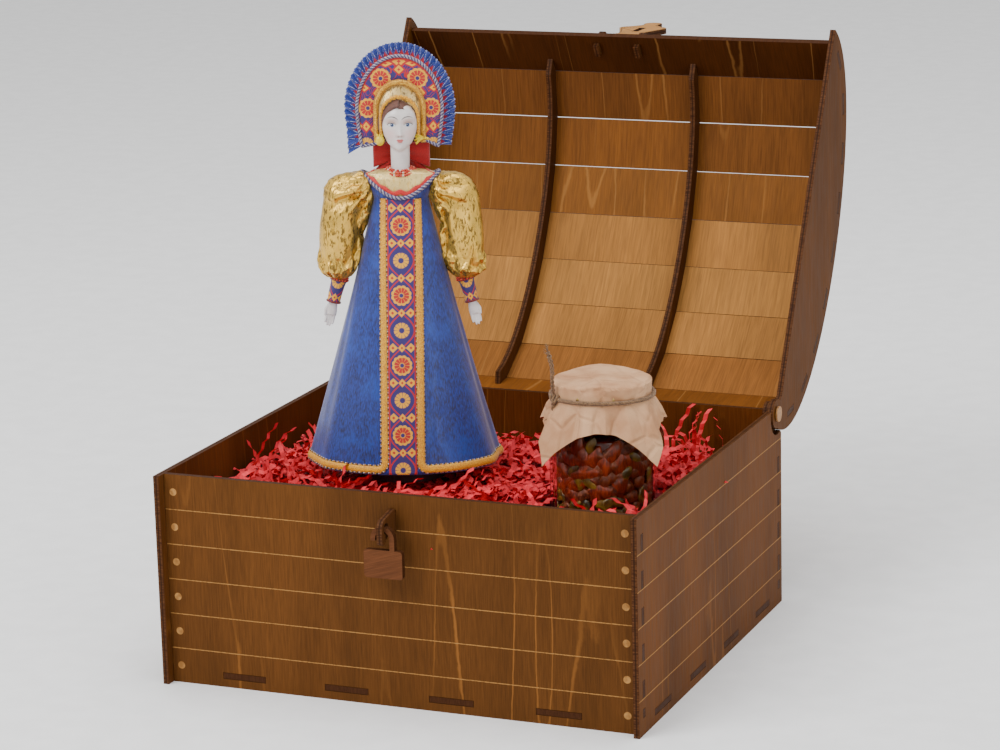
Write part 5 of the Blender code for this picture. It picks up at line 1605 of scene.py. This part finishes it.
def makeJar():
    s = jarSettings
    glass = mottled("clearGlass", 30.0, 2.0, (0.3, 0.7), (0.96, 0.93, 0.90), (0.99, 0.97, 0.95),
                    roughness=0.04, specular=0.6)
    shader = glass.node_tree.nodes["Principled BSDF"]
    shader.inputs["Transmission Weight"].default_value = 1.0
    shader.inputs["IOR"].default_value = 1.12
    finish(nodes["jar_glass"], glass)
    metal = newMaterial("capMetal", roughness=0.35, metallic=1.0)
    tree = metal.node_tree
    ring = noise(tree, stretch(tree, objectPoint(tree), (1, 1, 0.02)), 500.0, 2.0)
    wire(metal, colour=blendColour(tree, fade(tree, ring, 0.3, 0.7), srgb(206, 180, 112),
                                   srgb(230, 206, 140)))
    finish(nodes["jar_cap"], metal)
    honey = newMaterial("darkHoney", roughness=0.12)
    tree = honey.node_tree
    cloud = noise(tree, objectPoint(tree), 60.0, 3.0)
    # painted shade: the honey is painted darker towards its top, where the paper cover shades the jar
    lit = fade(tree, split(tree, objectPoint(tree))[2], s["floor"], s["fill"])
    colour = blendColour(tree, fade(tree, cloud, 0.3, 0.7), srgb(74, 18, 8), srgb(150, 50, 12))
    colour = blendColour(tree, times(tree, lit, 0.6), colour, srgb(48, 10, 10))
    wire(honey, colour=colour)
    radius = s["inner"] - 3.2 * mm

    def core(u, v):
        angle = 2 * math.pi * u
        z = lerp(s["floor"] + 0.4 * mm, s["fill"], v)
        wave = 0.9 * mm * math.sin(5 * angle + 90 * z) * math.sin(3.0 * v * math.pi)
        return Vector(((radius + wave) * math.cos(angle), (radius + wave) * math.sin(angle), z)) \
            + Vector((jarMiddle.x, jarMiddle.y, 0.0))

    makePiece("honey", seal(formSheet(64, 24, core, closed=True)), honey, "chest", None,
              ("jar_contents",))
    brown = newMaterial("almondSkin", roughness=0.35)
    tree = brown.node_tree
    point = objectPoint(tree)
    streak = noise(tree, stretch(tree, point, (1, 1, 0.25)), 700.0, 3.0)
    tint = noise(tree, point, 50.0, 1.0)
    colour = blendColour(tree, fade(tree, streak, 0.3, 0.7), srgb(112, 40, 8), srgb(178, 80, 22))
    colour = blendColour(tree, fade(tree, tint, 0.4, 0.7, 0.0, 0.5), colour, srgb(96, 34, 14))
    wire(brown, colour=colour, normal=bumps(tree, streak, 0.5, 0.0006))
    green = mottled("pumpkinSeed", 140.0, 2.0, (0.35, 0.65), srgb(84, 68, 20), srgb(150, 124, 48),
                    roughness=0.35)
    walnut = newMaterial("walnutHalf", roughness=0.45)
    tree = walnut.node_tree
    tint = noise(tree, objectPoint(tree), 260.0, 4.0, 0.65)
    wire(walnut, colour=blendColour(tree, fade(tree, tint, 0.3, 0.7), srgb(92, 38, 12),
                                    srgb(160, 88, 36)), normal=bumps(tree, tint, 0.9, 0.0012))

    def nut(shape, angle, z, size, turn, inset, bumpy=0.0):
        made = bmesh.ops.create_icosphere(shape, subdivisions=2, radius=1.0)
        for vert in made["verts"]:
            way = vert.co.normalized()
            grow = 1.0 + bumpy * math.sin(5 * way.x + 3 * angle) * math.sin(6 * way.z) * 1.4
            taper = 1.0 - 0.22 * way.z if size[2] > size[0] * 1.3 else 1.0
            vert.co = Vector((way.x * size[0] * taper, way.y * size[1], way.z * size[2])) * grow
        place = Vector((jarMiddle.x, jarMiddle.y, z)) + Vector((math.sin(angle), -math.cos(angle), 0)) \
            * (s["inner"] - inset)
        move = (Matrix.Translation(place) @ Matrix.Rotation(angle, 4, "Z")
                @ Matrix.Rotation(turn, 4, "Y"))
        bmesh.ops.transform(shape, matrix=move, verts=made["verts"])

    almonds, seeds, walnuts = bmesh.new(), bmesh.new(), bmesh.new()
    span = s["fill"] - s["floor"]
    for index in range(s["nuts"]):
        angle = index * 2.39996 + facing
        z = s["floor"] + span * (0.05 + 0.92 * ((index * 0.75488) % 1.0))
        low = (z - s["floor"]) / span
        kind = chance.random()
        turn = chance.uniform(0, math.pi)
        if low < 0.30 and kind < 0.75 or kind < 0.16:
            nut(seeds, angle, z, (3.4 * mm, 1.2 * mm, 6.2 * mm), turn, 1.4 * mm)
        elif kind < 0.55:
            nut(almonds, angle, z, (5.4 * mm, 2.9 * mm, 9.8 * mm), turn, 3.1 * mm)
        else:
            nut(walnuts, angle, z, (5.2 * mm, 3.0 * mm, 4.8 * mm), turn, 3.3 * mm, 0.16)
    # two whole almonds and a seed that face the front
    nut(almonds, facing - 0.42, s["floor"] + 0.60 * span, (5.6 * mm, 3.0 * mm, 11.5 * mm), 1.35, 3.0 * mm)
    nut(almonds, facing + 0.38, s["floor"] + 0.47 * span, (6.0 * mm, 3.2 * mm, 8.2 * mm), 0.4, 3.1 * mm)
    nut(seeds, facing + 0.12, s["floor"] + 0.26 * span, (3.8 * mm, 1.3 * mm, 6.6 * mm), 1.0, 1.4 * mm)
    makePiece("almonds", almonds, brown, "chest")
    makePiece("pumpkin_seeds", seeds, green, "chest")
    makePiece("walnut_halves", walnuts, walnut, "chest")


def paperMaterial():
    material = newMaterial("kraftPaper", roughness=0.78, specular=0.3)
    tree = material.node_tree
    point = objectPoint(tree)
    fibre = noise(tree, point, 900.0, 3.0, 0.7)
    cloud = noise(tree, point, 45.0, 3.0, 0.55)
    crease = addNode(tree, "ShaderNodeTexVoronoi", {"Vector": point, "Scale": 46.0},
                     feature="DISTANCE_TO_EDGE").outputs["Distance"]
    colour = blendColour(tree, fade(tree, cloud, 0.3, 0.7), srgb(204, 158, 120), srgb(228, 188, 150))
    colour = blendColour(tree, fade(tree, fibre, 0.60, 0.75, 0.0, 0.4), colour, srgb(150, 112, 88))
    height = calc(tree, "MULTIPLY_ADD", fade(tree, crease, 0.0, 0.10), 1.4,
                  times(tree, fibre, 0.25))
    wire(material, colour=colour, normal=bumps(tree, height, 0.45, 0.0012))
    return material


def makeCover():
    s = jarSettings
    half = s["paper"] / 2
    turn = facing + math.radians(45 - 4)

    def cover(u, v):
        # u goes round; v from the middle of the cap to the paper's edge
        angle = 2 * math.pi * u
        corner = abs(((angle - turn) % (math.pi / 2)) - math.pi / 4) / (math.pi / 4)
        edge = half / max(math.cos((math.pi / 4) * corner), 0.70)
        run = v * edge
        flat = s["capRadius"]
        side = s["capTop"] - s["tied"]
        # paper creases: straight-sided folds of uneven width
        first = math.asin(math.sin(7 * angle + 0.9 * math.sin(3 * angle))) / (math.pi / 2)
        second = math.asin(math.sin(15 * angle + 1.0 + math.sin(2 * angle))) / (math.pi / 2)
        fold = first * 0.65 + second * 0.45
        if run < flat:
            crease = abs(math.sin(angle - facing) * run / flat + 0.04)
            z = s["capTop"] + 0.25 * mm * fold * (run / flat) ** 3 + 2.2 * mm * max(0, 1 - 1.5 * crease)
            radius = run
            if run > flat - 3 * mm:
                ease = (run - flat + 3 * mm) / (3 * mm)
                z -= 0.9 * mm * ease ** 2
            out = radius
        elif run < flat + side:
            down = run - flat
            share = down / side
            out = flat + 1.5 * mm * fold * share ** 0.7 * (1 - 0.6 * share) + 0.5 * mm * (1 - share)
            z = s["capTop"] - 0.9 * mm - down * 0.93
        else:
            below = run - flat - side
            share = min(1.0, below / (44 * mm))
            flare = 0.36 + 0.05 * corner
            pleat = 4.6 * mm * fold * min(1.0, below / (12 * mm))
            out = flat + 0.3 * mm + below * flare + pleat * (1 - 0.3 * corner) + 1.6 * mm * share
            z = s["tied"] - below * (0.93 - 0.02 * corner) - 0.4 * mm
        return Vector((jarMiddle.x + out * math.sin(angle), jarMiddle.y - out * math.cos(angle), z))

    shape = thicken(formSheet(216, 70, cover, closed=True), 0.35 * mm)
    area = sum(face.calc_area() for face in shape.faces) / 2
    piece = makePiece("paper_cover", shape, paperMaterial(), "chest", None, ("jar_cover",),
                      rounded=False)
    twine = threadMaterial("twine", srgb(176, 142, 104), srgb(104, 78, 54), 1500.0, rough=0.85)
    ring = [Vector((jarMiddle.x + (s["capRadius"] + 1.5 * mm) * math.sin(a),
                    jarMiddle.y - (s["capRadius"] + 1.5 * mm) * math.cos(a),
                    s["tied"] + 0.5 * mm * math.sin(a * 2 + 1))) for a in
            (2 * math.pi * n / 240 for n in range(241))]
    strands = [sweptCord(twist(ring, 0.72 * mm, 5.2 * mm, phase), 0.80 * mm, 2)
               for phase in (0.0, 2.1, 4.2)]
    knotAt = facing - math.radians(62)
    out = Vector((math.sin(knotAt), -math.cos(knotAt), 0.0))
    middle = Vector((jarMiddle.x, jarMiddle.y, s["tied"])) + out * (s["capRadius"] + 3.0 * mm)
    across = out.cross(Vector((0, 0, 1)))
    knot = [middle + out * 2.0 * mm * math.sin(2 * t) + across * 2.4 * mm * math.cos(t)
            + Vector((0, 0, 2.2 * mm * math.sin(3 * t)))
            for t in (2 * math.pi * n / 60 for n in range(61))]
    strands.append(sweptCord(knot, 1.0 * mm, 2))
    # one frayed end stands up past the cap and one hangs down
    ends = []
    for spread, reach, lift in s["ends"]:
        end = [middle + (out * 0.35 + across * spread + Vector((0, 0, lift))).normalized() * reach
               * mm * n / 10 + out * 1.2 * mm * math.sin(n * 0.7) * n / 10 for n in range(11)]
        ends += [sweptCord(twist(end, 0.75 * mm, 6.0 * mm, phase), 0.85 * mm, 1) for phase in (0.0, 3.1)]
        for _ in range(9):
            tip = end[-1]
            fly = Vector([chance.uniform(-1, 1) for _ in range(3)]).normalized()
            way = (end[-1] - end[-2]).normalized() * 4 * mm
            ends.append(sweptCord([tip - way * 0.3, tip + way * 0.5 + fly * 0.6 * mm,
                                   tip + way + fly * 2.0 * mm], 0.16 * mm, 1))
    tie = makePiece("twine_tie", gather(*strands), twine, "chest", None, ("jar_twine",))
    loose = makePiece("twine_ends", gather(*ends), twine, "chest")
    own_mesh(loose)


makeJar()
makeCover()
print("jar done")

# Crinkled paper shred

shredSettings = {
    "strips": 2600,
    "width": 3.3 * mm,
    "step": 4.4 * mm,
    "crimp": 1.9 * mm,
    "tall": 26,
    "depth": 106.5 * mm,
    "leftBank": 12 * mm,
    "rightBank": 20 * mm,
    "backFall": 4 * mm,
    "pressed": 0.30,
}


def redPaper():
    material = newMaterial("redPaper", roughness=0.62, specular=0.35)
    tree = material.node_tree
    point = objectPoint(tree)
    tint = noise(tree, point, 90.0, 2.0)
    fleck = noise(tree, point, 1800.0, 1.0)
    colour = blendColour(tree, fade(tree, tint, 0.35, 0.65), srgb(206, 12, 40), srgb(250, 70, 84))
    colour = blendColour(tree, fade(tree, fleck, 0.60, 0.75, 0.0, 0.3), colour, srgb(252, 120, 120))
    wire(material, colour=colour, normal=bumps(tree, fleck, 0.2, 0.0002))
    return material


def shredLevel(x, y):
    # the top of the heap, in the chest's own frame
    low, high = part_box("shred_fill")
    wide = high.x
    front = y - low.y
    s = shredSettings
    left = s["leftBank"] * max(0.0, (-x - 0.100) / (wide - 0.100)) * max(0.0, 1 - front / 0.230)
    right = s["rightBank"] * max(0.0, (x - 0.020) / wide) * max(0.0, 1 - front / 0.070)
    back = s["backFall"] * max(0.0, (front - 0.190) / 0.090)
    return shredTop + left + right - back


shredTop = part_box("bottom_panel")[1].z + 0.3 * mm + shredSettings["depth"]


def strip(shape, start, heading, rise, count, roll, settings):
    # a flat ribbon folded to and fro, as a strip of faces drawn out from one short edge
    side = Vector((math.cos(heading + math.pi / 2), math.sin(heading + math.pi / 2), 0.0))
    way = Vector((math.cos(heading) * math.cos(rise), math.sin(heading) * math.cos(rise), math.sin(rise)))
    up = side.cross(way).normalized() * -1
    turn = Matrix.Rotation(roll, 3, way)
    side, up = turn @ side, turn @ up
    half = settings["width"] / 2
    spot = Vector(start)
    verts = [shape.verts.new(spot + side * half), shape.verts.new(spot - side * half)]
    edge = shape.edges.new(verts)
    bend = chance.uniform(-0.16, 0.16)
    for index in range(count):
        step = settings["step"] * chance.uniform(0.75, 1.2)
        zig = settings["crimp"] * (1 if index % 2 else -1) * chance.uniform(0.7, 1.3)
        made = bmesh.ops.extrude_edge_only(shape, edges=[edge])["geom"]
        new = [item for item in made if isinstance(item, bmesh.types.BMVert)]
        move = way * step + up * zig
        for vert in new:
            vert.co += move
        edge = shape.edges.get(new)
        spin = Matrix.Rotation(bend + chance.uniform(-0.10, 0.10), 3, up)
        way = (spin @ way).normalized()
        side = (spin @ side).normalized()
    return shape


def makeShred():
    s = shredSettings
    low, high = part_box("shred_fill")
    paper = redPaper()
    # the heap under the strips is the same red paper, painted darker as painted shade deep among the
    # strips
    deep = mottled("shadedHeapPaper", 200.0, 2.0, (0.3, 0.7), srgb(112, 8, 24), srgb(170, 16, 40),
                   roughness=0.7)

    def heap(u, v):
        x = lerp(low.x + 0.5 * mm, high.x - 0.5 * mm, u)
        y = lerp(low.y + 0.5 * mm, high.y - 0.5 * mm, v)
        rough = 1.6 * mm * math.sin(x * 410 + 3 * math.sin(y * 160)) * math.sin(y * 370 + x * 90)
        z = shredLevel(x, y) - 7.0 * mm + rough
        away = math.hypot(x - jarMiddle.x, y - jarMiddle.y)
        if away < 40 * mm:
            z = min(z, jarLow.z - 0.6 * mm + max(0.0, away - 37 * mm) * 3)
        return Vector((x, y, z))

    top = formSheet(60, 52, heap)
    made = bmesh.ops.extrude_face_region(top, geom=top.faces[:])
    for vert in (item for item in made["geom"] if isinstance(item, bmesh.types.BMVert)):
        vert.co.z = low.z + 0.2 * mm
    seal(top)
    heapPiece = makePiece("shred_heap", top, deep, "chest", None, ("shred_fill",))
    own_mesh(heapPiece)
    layers = (("shred_under", 0.40), ("shred_middle", 0.34), ("shred_top", 0.26))
    for layer, (name, share) in enumerate(layers):
        batches = []
        for index in range(int(s["strips"] * share)):
            if index % 50 == 0:
                batches.append(bmesh.new())
            x = chance.uniform(low.x + 6 * mm, high.x - 6 * mm)
            y = chance.uniform(low.y + 5 * mm, high.y - 5 * mm)
            away = math.hypot(x - jarMiddle.x, y - jarMiddle.y)
            if away < 38 * mm:
                continue
            z = shredLevel(x, y) - (6.0, 3.5, 1.0)[layer] * mm + chance.uniform(-2, 2) * mm
            heading = chance.uniform(0, 2 * math.pi)
            rise = chance.uniform(-0.25, 0.35) if layer < 2 else chance.uniform(-0.15, 0.6)
            count = chance.randint(4, 9)
            reach = count * s["step"] * 0.9
            tip = Vector((x + math.cos(heading) * reach, y + math.sin(heading) * reach))
            # keep strips inside the walls and off the jar
            clearX = low.x + 2 * mm < tip.x < high.x - 2 * mm
            if not (clearX and low.y + 2 * mm < tip.y < high.y - 2 * mm):
                heading = math.atan2(-0.118 - y, -x)
                count = 4
            nearest = min(math.hypot(lerp(x, x + math.cos(heading) * reach, n / 6) - jarMiddle.x,
                                     lerp(y, y + math.sin(heading) * reach, n / 6) - jarMiddle.y)
                          for n in range(7))
            if nearest < 38.5 * mm:
                continue
            under = math.hypot(x - dollCentre.x, y - dollCentre.y) < 52 * mm
            if under:
                z = min(z, shredLevel(x, y) - 3.0 * mm)
                rise = min(rise, 0.05)
            strip(batches[-1], (x, y, z), heading, rise, count, chance.uniform(-0.9, 0.9), s)
        if layer == 2:
            # a few long strands stand up out of the heap at the back right and by the left wall
            tall = bmesh.new()
            for _ in range(s["tall"]):
                right = chance.random() < 0.7
                x = chance.uniform(0.05, 0.15) if right else chance.uniform(-0.155, -0.13)
                y = chance.uniform(-0.03, 0.02) if right else chance.uniform(-0.22, 0.0)
                heading = chance.uniform(0, 2 * math.pi)
                if abs(x) > 0.125:
                    heading = math.pi if x > 0 else 0.0
                strip(tall, (x, y, shredLevel(x, y) - 3 * mm), heading, chance.uniform(0.8, 1.35),
                      chance.randint(6, 11), chance.uniform(-0.6, 0.6), s)
            batches.append(tall)
        shape = gather(*batches)
        piece = makePiece(name, shape, paper, "chest", None, rounded=False)
        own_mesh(piece)


makeShred()
print("shred done")

# Plain pale floor and soft studio light

lightSettings = {
    "world": 0.86,
    "key": {"place": (-1.1, -1.9, 2.2), "size": 1.6, "power": 62.0},
    "fill": {"place": (2.2, -1.6, 1.1), "size": 1.8, "power": 16.0},
    "top": {"place": (0.2, 0.1, 2.6), "size": 1.8, "power": 38.0},
}


def makeStudio():
    sheet = bmesh.new()
    bmesh.ops.create_grid(sheet, x_segments=2, y_segments=2, size=6.0)
    data = bpy.data.meshes.new("floor")
    sheet.to_mesh(data)
    sheet.free()
    floor = bpy.data.objects.new("floor", data)
    bpy.context.scene.collection.objects.link(floor)
    paper = newMaterial("floorPaper", roughness=0.9, specular=0.1)
    tree = paper.node_tree
    grain = noise(tree, objectPoint(tree), 40.0)
    wire(paper, colour=blendColour(tree, fade(tree, grain, 0.3, 0.7), (0.90, 0.90, 0.90),
                                   (0.94, 0.94, 0.94)))
    data.materials.append(paper)
    world = bpy.data.worlds.new("studio")
    world.use_nodes = True
    background = world.node_tree.nodes["Background"]
    background.inputs["Color"].default_value = (1.0, 1.0, 1.0, 1.0)
    background.inputs["Strength"].default_value = lightSettings["world"]
    bpy.context.scene.world = world
    for name in ("key", "fill", "top"):
        settings = lightSettings[name]
        lamp = bpy.data.lights.new(name, "AREA")
        lamp.energy = settings["power"]
        lamp.size = settings["size"]
        light = bpy.data.objects.new(name, lamp)
        light.location = settings["place"]
        aim = Vector((0.0, -0.05, 0.15)) - Vector(settings["place"])
        light.rotation_euler = aim.to_track_quat("-Z", "Y").to_euler()
        bpy.context.scene.collection.objects.link(light)


makeStudio()
print("studio done")
